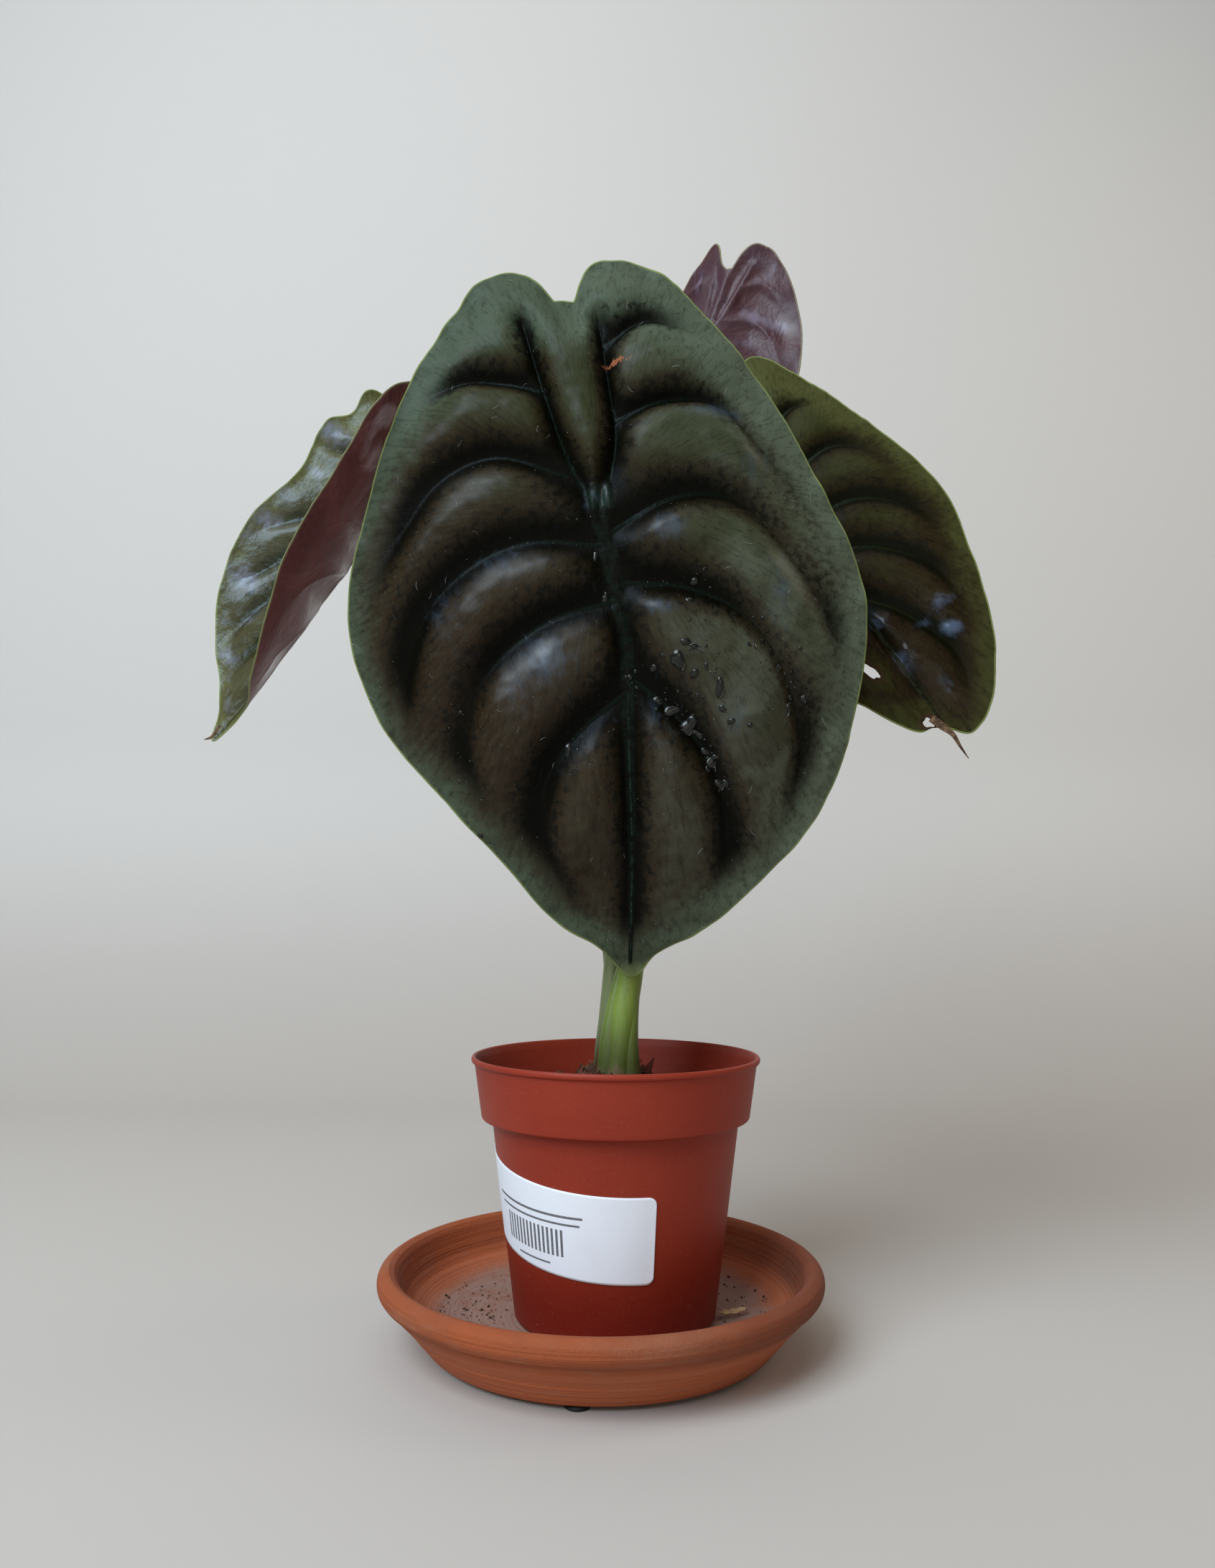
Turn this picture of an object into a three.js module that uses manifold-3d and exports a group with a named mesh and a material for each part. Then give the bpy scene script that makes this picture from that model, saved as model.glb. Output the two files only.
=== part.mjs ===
// Potted plant: a clay saucer on rubber pads, a thin nursery pot with a paper label,
// soil, the crown of the plant, and four shield-shaped quilted leaves on long stems.
// Millimetres, +Z up, X to the right and Y away from the front of the pot.
// Heights are measured from the surface that the pads stand on.
import * as THREE from 'three';
import { mergeVertices } from 'three/addons/utils/BufferGeometryUtils.js';
import Module from 'manifold-3d';

const wasm = await Module();
wasm.setup();

// Driving dimensions
const GAP = 0.3;                    // clearance between neighbouring pieces
const SAUCER_SIDES = 52;
const POT_SIDES = 48;
const POT_CENTRE = 4.9;             // the pot stands a little to the right in the saucer
const PAD_RADIUS = 4.2;
const PAD_HEIGHT = 1.3;
const PAD_RING = 56;
const PAD_TURN = -7;                // degrees from the front
const LABEL_THICK = 0.6;
const LABEL_HALF = 14.1;
const LABEL_MIDDLE = 43.5;
const LABEL_CORNER = 2.5;
const LABEL_SPAN = [-92, 18.3];     // degrees round the pot from the front
const SOIL_TOP = 84;
const CROWN_CENTRE = [4.6, 3.4];
const BLADE_THICK = 1.0;
const STEM_SIDES = 10;

// Outlines turned about the axis, as radius and height
const SAUCER_OUTLINE = [
  [0, 2.6], [50, 2.6], [51.5, 1.6], [60, 1.6], [61.4, 2.5], [63.6, 5.2], [67.2, 9.2], [67.1, 10],
  [68.6, 11], [71.6, 14.2], [74.4, 17], [74.5, 18], [76.4, 18.6], [77.9, 20.6], [78.3, 23],
  [77.6, 25.3], [75.9, 26.7], [74.4, 27], [72.8, 26.4], [71.4, 25], [70.2, 21.5], [68.6, 17.6],
  [65.8, 14], [61.8, 11.3], [56, 9.3], [48, 8.2], [40, 8], [0, 8],
];
const POT_OUTLINE = [
  [0, 9.3], [29.6, 9.3], [30.6, 8.3], [34.4, 8.3], [35.4, 9.3], [44, 74.8], [48, 76.9], [50.8, 95.6],
  [51.8, 96], [52, 97.1], [51.5, 98], [50.5, 97.9], [49.8, 95.4], [47, 77.7], [43, 75.4], [34.5, 10.6],
  [0, 10.6],
];
const SOIL_OUTLINE = [
  [0, 11], [34.1, 11], [42.6, 75.7], [46.5, 78], [47.3, SOIL_TOP - 0.6], [44, SOIL_TOP], [38, SOIL_TOP],
  [31, SOIL_TOP], [23, SOIL_TOP], [0, SOIL_TOP],
];
const CROWN_OUTLINE = [
  [0, 64], [8, 65], [12, 69], [14.2, 75], [14.6, 82], [13.8, 87], [12, 91], [9, 93.6], [0, 94.6],
];

// A leaf's outline: angle from the tip in degrees and distance from the stem's joint,
// for a leaf whose joint is 160 from its tip. Negative angles are its left side.
const FRONT_OUTLINE = [
  [-171, 73.3], [-166, 85.2], [-158, 90.1], [-145, 84.1], [-130, 80], [-110, 78.4], [-90, 83.5],
  [-70, 97.3], [-50, 107.6], [-30, 116.7], [-18, 129.2], [-9, 146.5], [-3.5, 154.8], [0, 165.5],
  [3.5, 157.2], [9, 152.7], [18, 142.7], [30, 132.8], [48, 114.3], [68, 98.2], [90, 77.8], [110, 70.1],
  [130, 70.2], [148, 75.5], [162, 83.7], [172, 87.7], [180, 84.4], [184, 72],
];
const RIGHT_OUTLINE = [
  [-178, 66], [-172, 76], [-163, 83], [-150, 81], [-125, 75], [-95, 78], [-65, 95], [-40, 111.9],
  [-20, 117], [-8, 137.5], [0, 158.1], [8, 149.2], [20, 129.9], [40, 100.5], [65, 82.3], [95, 67.5],
  [125, 68], [150, 86], [163, 99.5], [172, 80], [178, 65.3],
];
const LEFT_OUTLINE = [
  [-178, 56.1], [-171, 58], [-160, 74], [-145, 99], [-125, 86.2], [-95, 70.8], [-65, 82], [-40, 99.9],
  [-20, 120.3], [-8, 137], [0, 158.6], [8, 134], [20, 127], [40, 111.6], [65, 94.5], [95, 90],
  [125, 99], [145, 91], [160, 86], [171, 74], [178, 62],
];
const BACK_OUTLINE = [
  [-178, 60], [-172, 80.8], [-163, 86.7], [-150, 82.7], [-125, 76.5], [-95, 80.3], [-65, 94], [-40, 109.9],
  [-20, 130], [-8, 147], [0, 160], [8, 147], [20, 130], [40, 111], [65, 96], [95, 78.3], [125, 71.5],
  [150, 84.3], [163, 90.3], [172, 65.7], [178, 59.5],
];

// Veins as points [toward the tip, to the right] on the same scale
const FRONT_VEINS = [
  [[6, -1], [24, 2], [50, 5], [81, 4], [117, 3], [160, 0]],
  [[6, -1], [-13, -10], [-38, -17], [-64, -23]],
  [[6, -1], [-18, 6], [-40, 5], [-64, 3]],
  [[-38, -17], [-44, -40], [-41, -57]],
  [[-8, -11], [-16, -35], [-10, -54], [6, -69]],
  [[16, -2], [14, -26], [21, -46], [37, -63], [68, -74]],
  [[35, 2], [41, -21], [58, -43], [81, -51], [100, -50]],
  [[66, 4], [75, -9], [91, -23], [114, -28], [131, -23]],
  [[-53, 4], [-62, 19], [-59, 35]],
  [[-26, 6], [-32, 23], [-30, 42], [-9, 60]],
  [[12, 2], [1, 27], [4, 46], [22, 63], [37, 72]],
  [[29, 4], [32, 26], [41, 44], [57, 56], [86, 63], [105, 60]],
  [[60, 5], [74, 20], [93, 32], [110, 35], [128, 35]],
];
const SIDE_VEINS = [
  [[6, 0], [-20, 9], [-45, 14], [-64, 18]],
  [[-45, 14], [-52, 30], [-47, 46]],
  [[-14, 8], [-20, 34], [-10, 52], [8, 66]],
  [[14, 1], [14, 30], [31, 54], [62, 67]],
  [[34, 1], [44, 26], [67, 45], [98, 49]],
  [[62, 1], [83, 18], [113, 28], [130, 24]],
];

// Each leaf: scale against the outline above, joint, direction of the tip, upper side,
// rise of its two halves from the midrib and their curl in radians, droop and relief
const LEAVES = [
  { name: 'leaf_front', outline: FRONT_OUTLINE, veins: FRONT_VEINS, scale: 1, half: 85,
    at: [-0.9, -52, 287], tip: [0.068, 0.03, -0.997], up: [0, -1, 0], rise: [0.1, 0.1], curl: [0.45, 0.45],
    soft: 6, droop: 0.35, lobes: 0.3, sway: 0, ridge: 0, relief: 5.5, spokes: [33, 33], rings: 10,
    colour: 0x3a4438, roughness: 0.42 },
  { name: 'leaf_right', outline: RIGHT_OUTLINE, scale: 0.7165, half: 60.8,
    at: [71.8, 1.4, 305.4], tip: [0.428, -0.198, -0.882], up: [-0.023, -0.978, 0.209], rise: [0.229, 0.183],
    curl: [0.35, 0.25], soft: 5, droop: 0.12, lobes: 0.2, sway: 10.7, ridge: 0, relief: 3.2, spokes: [24, 24],
    rings: 8, colour: 0x4a4a22, roughness: 0.3 },
  { name: 'leaf_left', outline: LEFT_OUTLINE, scale: 0.634, half: 53.2,
    at: [-90.2, 2.2, 295.5], tip: [-0.552, -0.068, -0.831], up: [-0.134, -0.976, 0.169], rise: [-0.585, 0.844],
    curl: [-1.316, -1.048], soft: 3, droop: 0.05, lobes: 0.2, sway: 0, ridge: 17, relief: 2.2, spokes: [24, 24],
    rings: 8, colour: 0x4a2026, roughness: 0.4 },
  { name: 'leaf_back', outline: BACK_OUTLINE, scale: 0.534, half: 45.3,
    at: [43.1, 44.4, 397], tip: [-0.359, -0.019, -0.933], up: [0.473, 0.859, -0.199], rise: [0.518, 0.523],
    curl: [0.3, 0.3], soft: 5, droop: 0.3, lobes: 0.3, sway: 0, ridge: 0, relief: 2, spokes: [22, 22],
    rings: 6, colour: 0x4a2630, roughness: 0.35 },
];

// Stems: centre line from the crown to the joint, and radius at both ends
const STEMS = [
  { name: 'stem_front', radius: [5.3, 3.0], colour: 0x6d9a3c,
    path: [[5.4, -5, 70], [5.6, -4.8, 92], [7, -4.2, 110], [9.8, -3, 126], [13, -1, 160], [12.5, 2, 205],
      [7, -16, 252], [1, -40, 280], [-0.9, -52, 287]] },
  { name: 'stem_back', radius: [3.6, 2.0], colour: 0x8b9a72,
    path: [[0, 4, 70], [0.4, 4.2, 95], [2, 4.4, 110], [3.4, 5, 126], [8, 10, 180], [22, 24, 270],
      [37, 38, 360], [43.1, 44.4, 397]] },
  { name: 'stem_right', radius: [3.7, 2.2], colour: 0x6f8f48,
    path: [[8.8, 5.4, 70], [9.2, 5.8, 100], [11.4, 7.4, 130], [22, 11, 180], [44, 14, 245], [66, 9, 297],
      [71.8, 1.4, 305.4]] },
  { name: 'stem_left', radius: [3.5, 2.1], colour: 0x6f8f48,
    path: [[2.8, 12.2, 70], [2.8, 12.6, 100], [0.5, 13.4, 130], [-14, 15, 185], [-46, 15, 245], [-76, 12, 285],
      [-90.2, 2.2, 295.5]] },
];
const SPEAR_PATH = [[14.6, -2.4, 76], [15, -2.4, 86], [16.2, -2.2, 92], [18.7, -2, 97]];
const SPEAR_WIDTHS = [2.4, 2.6, 2.3, 0.35];

// Smooth curve through [x, y] knots
function smooth(knots, x) {
  let i = 0;
  while (i < knots.length - 2 && x > knots[i + 1][0]) i += 1;
  const slope = (k) => {
    const rise = (j) => (knots[j + 1][1] - knots[j][1]) / (knots[j + 1][0] - knots[j][0]);
    if (k === 0) return rise(0);
    if (k === knots.length - 1) return rise(k - 1);
    const before = knots[k][0] - knots[k - 1][0];
    const after = knots[k + 1][0] - knots[k][0];
    return (rise(k - 1) * after + rise(k) * before) / (before + after);
  };
  const [x0, y0] = knots[i];
  const [x1, y1] = knots[i + 1];
  const h = x1 - x0;
  const t = (x - x0) / h;
  return (2 * t ** 3 - 3 * t ** 2 + 1) * y0 + (t ** 3 - 2 * t ** 2 + t) * h * slope(i)
    + (3 * t ** 2 - 2 * t ** 3) * y1 + (t ** 3 - t ** 2) * h * slope(i + 1);
}

// Material, mesh and boolean helpers
function piece(name, geometry, colour, roughness, metalness = 0) {
  geometry.computeVertexNormals();
  const mesh = new THREE.Mesh(geometry, new THREE.MeshStandardMaterial({ color: colour, roughness, metalness }));
  mesh.name = name;
  return mesh;
}

function indexed(points, faces) {
  const geometry = new THREE.BufferGeometry();
  geometry.setAttribute('position', new THREE.Float32BufferAttribute(points.flat(), 3));
  geometry.setIndex(faces.flat());
  return geometry;
}

function toSolid(geometry) {
  const bare = geometry.clone();
  for (const name of Object.keys(bare.attributes)) if (name !== 'position') bare.deleteAttribute(name);
  const merged = mergeVertices(bare, 1e-4);
  const index = Array.from(merged.index.array);
  const kept = [];
  for (let i = 0; i < index.length; i += 3) {
    const [a, b, c] = index.slice(i, i + 3);
    if (a !== b && b !== c && c !== a) kept.push(a, b, c);
  }
  return new wasm.Manifold(new wasm.Mesh({
    numProp: 3,
    vertProperties: new Float32Array(merged.attributes.position.array),
    triVerts: new Uint32Array(kept),
  }));
}

// The largest body of a solid, as a geometry
function fromSolid(solid) {
  const bodies = solid.decompose();
  bodies.sort((a, b) => b.volume() - a.volume());
  const mesh = bodies[0].getMesh();
  const geometry = new THREE.BufferGeometry();
  geometry.setAttribute('position', new THREE.BufferAttribute(new Float32Array(mesh.vertProperties), 3));
  geometry.setIndex(new THREE.BufferAttribute(new Uint32Array(mesh.triVerts), 1));
  return geometry;
}

function turned(outline, sides) {
  const profile = outline.map(([r, z]) => new THREE.Vector2(r, z));
  const lathe = new THREE.LatheGeometry(profile, sides);
  lathe.rotateX(Math.PI / 2);
  return fromSolid(toSolid(lathe));
}

// Tapering stem: rings along a smooth curve, closed at both ends
function stemGeometry(path, radiusAt, sides, steps, flat = 1, grow = 0) {
  const curve = new THREE.CatmullRomCurve3(path.map((p) => new THREE.Vector3(...p)), false, 'centripetal');
  const frames = curve.computeFrenetFrames(steps);
  const points = [];
  const faces = [];
  for (let i = 0; i <= steps; i += 1) {
    const centre = curve.getPointAt(i / steps);
    const r = radiusAt(i / steps) + grow;
    for (let k = 0; k < sides; k += 1) {
      const turn = (2 * Math.PI * k) / sides;
      const p = centre.clone()
        .addScaledVector(frames.normals[i], r * Math.cos(turn))
        .addScaledVector(frames.binormals[i], r * flat * Math.sin(turn));
      points.push(p.toArray());
    }
  }
  for (let i = 0; i < steps; i += 1) {
    for (let k = 0; k < sides; k += 1) {
      const a = i * sides + k;
      const b = i * sides + ((k + 1) % sides);
      faces.push([a, b, b + sides], [a, b + sides, a + sides]);
    }
  }
  const first = points.length;
  points.push(curve.getPointAt(0).toArray(), curve.getPointAt(1).toArray());
  for (let k = 0; k < sides; k += 1) {
    const next = (k + 1) % sides;
    faces.push([first, next, k], [first + 1, steps * sides + k, steps * sides + next]);
  }
  return indexed(points, faces);
}

// Leaf blades
function axes(leaf) {
  const tip = new THREE.Vector3(...leaf.tip).normalize();
  const up = new THREE.Vector3(...leaf.up);
  up.addScaledVector(tip, -up.dot(tip)).normalize();
  return { tip, up, side: new THREE.Vector3().crossVectors(up, tip) };
}

// Distance out from the midrib and height of one half against the width along the blade
function crossSection(leaf, side) {
  const count = 160;
  const step = (leaf.half * 1.6) / count;
  const rows = [[0, 0]];
  const angle = (s) => (leaf.rise[side] - (leaf.curl[side] / leaf.half) * s) * (1 - Math.exp(-((s / leaf.soft) ** 2)));
  for (let i = 0; i < count; i += 1) {
    const a = angle(i * step);
    const b = angle((i + 1) * step);
    rows.push([
      rows[i][0] + ((Math.cos(a) + Math.cos(b)) / 2) * step,
      rows[i][1] + ((Math.sin(a) + Math.sin(b)) / 2) * step,
    ]);
  }
  return (s) => {
    const at = Math.min(s / step, count - 1e-6);
    const i = Math.floor(at);
    const t = at - i;
    return [rows[i][0] * (1 - t) + rows[i + 1][0] * t, rows[i][1] * (1 - t) + rows[i + 1][1] * t];
  };
}

// Points every few millimetres along each vein, on the leaf's own scale
function veinPoints(leaf) {
  const mirrored = (line) => line.map(([a, b]) => [a, -b]);
  const midrib = [[-64, 0], [0, 0], [60, 0], [110, 0], [160, 0]];
  const lines = leaf.veins ?? [midrib, ...SIDE_VEINS, ...SIDE_VEINS.map(mirrored)];
  const points = [];
  for (const line of lines) {
    const curve = new THREE.SplineCurve(line.map(([a, b]) => new THREE.Vector2(a, b)));
    const count = Math.ceil(curve.getLength() / 2);
    for (const p of curve.getSpacedPoints(count)) {
      points.push([p.x * leaf.scale, p.y * leaf.scale + leaf.ridge * Math.max(0, 1 - Math.max(p.x, 0) / 160)]);
    }
  }
  return points;
}

function bladeSurface(leaf) {
  const { tip, up, side } = axes(leaf);
  const halves = [crossSection(leaf, 0), crossSection(leaf, 1)];
  const veins = veinPoints(leaf);
  const length = 160 * leaf.scale;
  const relief = (a, b, edge) => {
    let near = Infinity;
    for (const [va, vb] of veins) near = Math.min(near, (a - va) ** 2 + (b - vb) ** 2);
    const puff = 1 - Math.exp(-((Math.sqrt(near) / (7.5 * leaf.scale)) ** 1.6));
    return leaf.relief * puff * (1 - THREE.MathUtils.smoothstep(edge, 0.62, 1));
  };
  const place = (a, b, edge) => {
    const bend = a > 0 ? (leaf.droop * a) / length : (leaf.lobes * -a) / length;
    const chord = Math.abs(bend) < 1e-6 ? 1 : Math.sin(bend / 2) / (bend / 2);
    const run = a * chord * Math.cos(bend / 2);
    const drop = Math.abs(a) * chord * Math.sin(bend / 2);
    const lean = a > 0 ? bend : -bend;
    const normal = up.clone().multiplyScalar(Math.cos(lean)).addScaledVector(tip, Math.sin(lean));
    const [out, height] = halves[b > 0 ? 1 : 0](Math.abs(b));
    const bow = leaf.sway * (a / length) ** 2 * Math.sign(a);
    return new THREE.Vector3(...leaf.at)
      .addScaledVector(tip, run)
      .addScaledVector(up, -drop)
      .addScaledVector(side, out * Math.sign(b) + bow)
      .addScaledVector(normal, height + relief(a, b, edge));
  };
  return (a, b, edge) => {
    const e = 0.4;
    const point = place(a, b, edge);
    const alongA = place(a + e, b, edge).sub(place(a - e, b, edge));
    const alongB = place(a, b + e, edge).sub(place(a, b - e, edge));
    return { point, normal: alongA.cross(alongB).normalize() };
  };
}

// Angles of the spokes, spaced evenly along the outline, with one at the tip
function spokeAngles(leaf) {
  const knots = leaf.outline;
  const span = (from, to, count) => {
    const samples = 200;
    const sums = [0];
    const at = (t) => {
      const angle = from + (to - from) * t;
      const r = smooth(knots, angle);
      const turn = THREE.MathUtils.degToRad(angle);
      return [r * Math.cos(turn), r * Math.sin(turn)];
    };
    for (let i = 1; i <= samples; i += 1) {
      const [x0, y0] = at((i - 1) / samples);
      const [x1, y1] = at(i / samples);
      sums.push(sums[i - 1] + Math.hypot(x1 - x0, y1 - y0));
    }
    const angles = [];
    let j = 0;
    for (let i = 0; i < count; i += 1) {
      const want = (sums[samples] * i) / count;
      while (sums[j + 1] < want) j += 1;
      angles.push(from + ((to - from) * (j + (want - sums[j]) / (sums[j + 1] - sums[j]))) / samples);
    }
    return angles;
  };
  const last = knots[knots.length - 1][0];
  return [...span(knots[0][0], 0, leaf.spokes[0]), ...span(0, last, leaf.spokes[1]), last];
}

// Closed blade: the same fan of triangles above and below, and a strip round the edge
function bladeGeometry(leaf, thick) {
  const surface = bladeSurface(leaf);
  const angles = spokeAngles(leaf);
  const count = angles.length;
  const points = [];
  const faces = [];
  const add = (a, b, edge) => {
    const { point, normal } = surface(a, b, edge);
    const reach = new THREE.Vector3().copy(normal).multiplyScalar(thick / 2);
    points.push(point.clone().add(reach).toArray(), point.clone().sub(reach).toArray());
  };
  add(0, 0, 0);
  for (const angle of angles) {
    const r = smooth(leaf.outline, angle) * leaf.scale;
    const turn = THREE.MathUtils.degToRad(angle);
    for (let j = 1; j <= leaf.rings; j += 1) {
      const edge = (j / leaf.rings) ** 0.9;
      add(edge * r * Math.cos(turn), edge * r * Math.sin(turn), edge);
    }
  }
  const top = (i, j) => (j === 0 ? 0 : 2 * (1 + (i % count) * leaf.rings + j - 1));
  const both = (a, b, c) => faces.push([a, b, c], [a + 1, c + 1, b + 1]);
  for (let i = 0; i < count; i += 1) {
    both(0, top(i, 1), top(i + 1, 1));
    for (let j = 1; j < leaf.rings; j += 1) {
      both(top(i, j), top(i, j + 1), top(i + 1, j + 1));
      both(top(i, j), top(i + 1, j + 1), top(i + 1, j));
    }
    const a = top(i, leaf.rings);
    const b = top(i + 1, leaf.rings);
    faces.push([a, a + 1, b + 1], [a, b + 1, b]);
  }
  return indexed(points, faces);
}

// Label: a thin sheet bent round the pot, rising slightly to the left
function labelGeometry() {
  const columns = 22;
  const rows = 3;
  const points = [];
  const faces = [];
  const [from, to] = LABEL_SPAN;
  const slope = (44 - 35.4) / (74.8 - 9.3);
  for (let i = 0; i <= columns; i += 1) {
    const part = 0.5 - 0.5 * Math.cos((Math.PI * i) / columns);
    const angle = from + (to - from) * (0.35 * part + (0.65 * i) / columns);
    const turn = THREE.MathUtils.degToRad(angle);
    const reach = Math.min(angle - from, to - angle) * 0.7;
    const inset = Math.max(0, LABEL_CORNER - reach);
    const half = LABEL_HALF - (LABEL_CORNER - Math.sqrt(LABEL_CORNER ** 2 - inset ** 2));
    const middle = LABEL_MIDDLE + 0.0008 * (to - angle) ** 2;
    for (let j = 0; j <= rows; j += 1) {
      const z = middle + half * ((2 * j) / rows - 1);
      const wall = 35.4 + (z - 9.3) * slope + GAP;
      for (const r of [wall + LABEL_THICK, wall]) {
        points.push([POT_CENTRE + r * Math.sin(turn), -r * Math.cos(turn), z]);
      }
    }
  }
  const at = (i, j) => 2 * (i * (rows + 1) + j);
  for (let i = 0; i < columns; i += 1) {
    for (let j = 0; j < rows; j += 1) {
      const [a, b, c, d] = [at(i, j), at(i + 1, j), at(i + 1, j + 1), at(i, j + 1)];
      faces.push([a, b, c], [a, c, d], [a + 1, c + 1, b + 1], [a + 1, d + 1, c + 1]);
    }
    const [low, lowNext, high, highNext] = [at(i, 0), at(i + 1, 0), at(i, rows), at(i + 1, rows)];
    faces.push([low, low + 1, lowNext + 1], [low, lowNext + 1, lowNext]);
    faces.push([high, highNext, highNext + 1], [high, highNext + 1, high + 1]);
  }
  for (let j = 0; j < rows; j += 1) {
    const [a, b, c, d] = [at(0, j), at(0, j + 1), at(columns, j), at(columns, j + 1)];
    faces.push([a, b, b + 1], [a, b + 1, a + 1], [c, c + 1, d + 1], [c, d + 1, d]);
  }
  return indexed(points, faces);
}

// Lumps on the surface of the soil and of the crown
function lumps(x, y) {
  return 0.9 * Math.sin(0.42 * x + 1.3) * Math.cos(0.37 * y - 0.6) + 0.7 * Math.sin(0.9 * x - 0.5 * y + 2)
    + 0.5 * Math.cos(0.75 * y + 0.8 * x);
}

function roughened(geometry, above, size) {
  const position = geometry.attributes.position;
  for (let i = 0; i < position.count; i += 1) {
    const [x, y, z] = [position.getX(i), position.getY(i), position.getZ(i)];
    if (z > above) position.setZ(i, z + size * lumps(x, y));
  }
  return geometry;
}

const parts = new THREE.Group();

// Saucer, pads and pot
parts.add(piece('saucer', turned(SAUCER_OUTLINE, SAUCER_SIDES), 0xb0643c, 0.85));
for (let i = 0; i < 3; i += 1) {
  const turn = THREE.MathUtils.degToRad(PAD_TURN + 120 * i);
  const pad = new THREE.CylinderGeometry(PAD_RADIUS - 0.4, PAD_RADIUS, PAD_HEIGHT, 20);
  pad.rotateX(Math.PI / 2);
  const mesh = piece(`saucer_pad_${i + 1}`, pad, 0x1c1b1a, 0.7);
  mesh.position.set(PAD_RING * Math.sin(turn), -PAD_RING * Math.cos(turn), PAD_HEIGHT / 2);
  parts.add(mesh);
}
const pot = piece('pot', turned(POT_OUTLINE, POT_SIDES), 0x8c3a2a, 0.5);
pot.position.x = POT_CENTRE;
parts.add(pot);
parts.add(piece('label', labelGeometry(), 0xe8ebf2, 0.6));

// Stems, with the clearance that the crown and soil leave round them
const taper = (stem) => (t) => stem.radius[0] + (stem.radius[1] - stem.radius[0]) * Math.min(1, t * 1.15);
const spearTaper = (t) => smooth(SPEAR_WIDTHS.map((w, i) => [i / 3, w]), t);
const clearances = [];
for (const stem of STEMS) {
  const leaf = LEAVES.find((one) => one.name.slice(5) === stem.name.slice(5));
  const body = toSolid(stemGeometry(stem.path, taper(stem), STEM_SIDES, 22));
  const room = toSolid(bladeGeometry(leaf, BLADE_THICK + 2.4 * GAP));
  parts.add(piece(stem.name, fromSolid(body.subtract(room)), stem.colour, 0.4));
  clearances.push(toSolid(stemGeometry(stem.path, taper(stem), STEM_SIDES, 22, 1, 1.2 * GAP)));
}
parts.add(piece('spear', stemGeometry(SPEAR_PATH, spearTaper, 8, 8, 0.5), 0x3a1a1c, 0.6));
clearances.push(toSolid(stemGeometry(SPEAR_PATH, spearTaper, 8, 8, 0.65, 1.2 * GAP)));

// Crown and soil
const crownAt = (outline) => {
  const geometry = turned(outline, 22);
  const position = geometry.attributes.position;
  for (let i = 0; i < position.count; i += 1) {
    const [x, y, z] = [position.getX(i), position.getY(i), position.getZ(i)];
    const swell = 1 + 0.05 * Math.sin(5 * Math.atan2(y, x) + z * 0.2) + 0.04 * Math.sin(11 * Math.atan2(y, x));
    position.setXYZ(i, x * swell + CROWN_CENTRE[0], y * swell + CROWN_CENTRE[1], z);
  }
  return toSolid(geometry);
};
const crownRoom = crownAt(CROWN_OUTLINE.map(([r, z], i) => [r ? r + 0.6 : 0, i < 2 ? z - 0.5 : z + 0.5]));
const crown = clearances.reduce((solid, room) => solid.subtract(room), crownAt(CROWN_OUTLINE));
parts.add(piece('crown', fromSolid(crown), 0x4a3726, 0.9));
const soilBody = roughened(turned(SOIL_OUTLINE, 36), SOIL_TOP - 0.3, 1);
soilBody.translate(POT_CENTRE, 0, 0);
const soil = clearances.reduce((solid, room) => solid.subtract(room), toSolid(soilBody).subtract(crownRoom));
parts.add(piece('soil', fromSolid(soil), 0x2e241c, 0.95));

// Leaves
for (const leaf of LEAVES) {
  parts.add(piece(leaf.name, bladeGeometry(leaf, BLADE_THICK), leaf.colour, leaf.roughness));
}

// The origin is the middle of the object's foot print, on the surface it stands on
const plant = new THREE.Group();
const box = new THREE.Box3().setFromObject(parts);
parts.position.set(-(box.min.x + box.max.x) / 2, -(box.min.y + box.max.y) / 2, -box.min.z);
plant.add(parts);

export default plant;
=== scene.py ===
"""A potted plant with four quilted, shield-shaped leaves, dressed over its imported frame.

Sizes are in millimetres from the saucer's axis and from the surface under its pads, unless a
name says otherwise. The bench turns them into the frame's metres.
"""
import logging
import math
from dataclasses import dataclass, field
from enum import Enum
from typing import Sequence

import bpy
import numpy as np
from bpy.types import Material, Mesh, Node, NodeSocket, NodeTree, Object
from mathutils import Euler, Matrix, Vector, kdtree
from mathutils.geometry import delaunay_2d_cdt


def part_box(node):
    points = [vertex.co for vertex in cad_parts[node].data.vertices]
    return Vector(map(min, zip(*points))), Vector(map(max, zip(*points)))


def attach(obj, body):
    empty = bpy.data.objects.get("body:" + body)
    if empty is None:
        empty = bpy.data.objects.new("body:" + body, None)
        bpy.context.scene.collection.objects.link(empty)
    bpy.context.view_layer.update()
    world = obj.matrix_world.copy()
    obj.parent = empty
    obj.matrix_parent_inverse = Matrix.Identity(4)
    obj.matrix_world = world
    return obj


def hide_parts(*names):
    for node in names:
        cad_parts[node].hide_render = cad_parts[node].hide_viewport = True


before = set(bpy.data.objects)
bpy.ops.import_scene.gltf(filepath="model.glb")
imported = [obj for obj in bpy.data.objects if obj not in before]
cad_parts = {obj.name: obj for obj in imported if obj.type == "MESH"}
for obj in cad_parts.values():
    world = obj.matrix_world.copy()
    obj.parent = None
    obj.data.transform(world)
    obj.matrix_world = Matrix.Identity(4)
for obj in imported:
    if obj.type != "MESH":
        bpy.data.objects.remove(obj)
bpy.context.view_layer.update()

MM = 0.001
BODY = "root"
LOG = logging.getLogger("potted_plant")

Colour = tuple[float, float, float]
Point = tuple[float, float, float]
FlatPoint = tuple[float, float]
Faces = list[tuple[int, ...]]
Spot = tuple[float, float, float, float, float]


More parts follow.
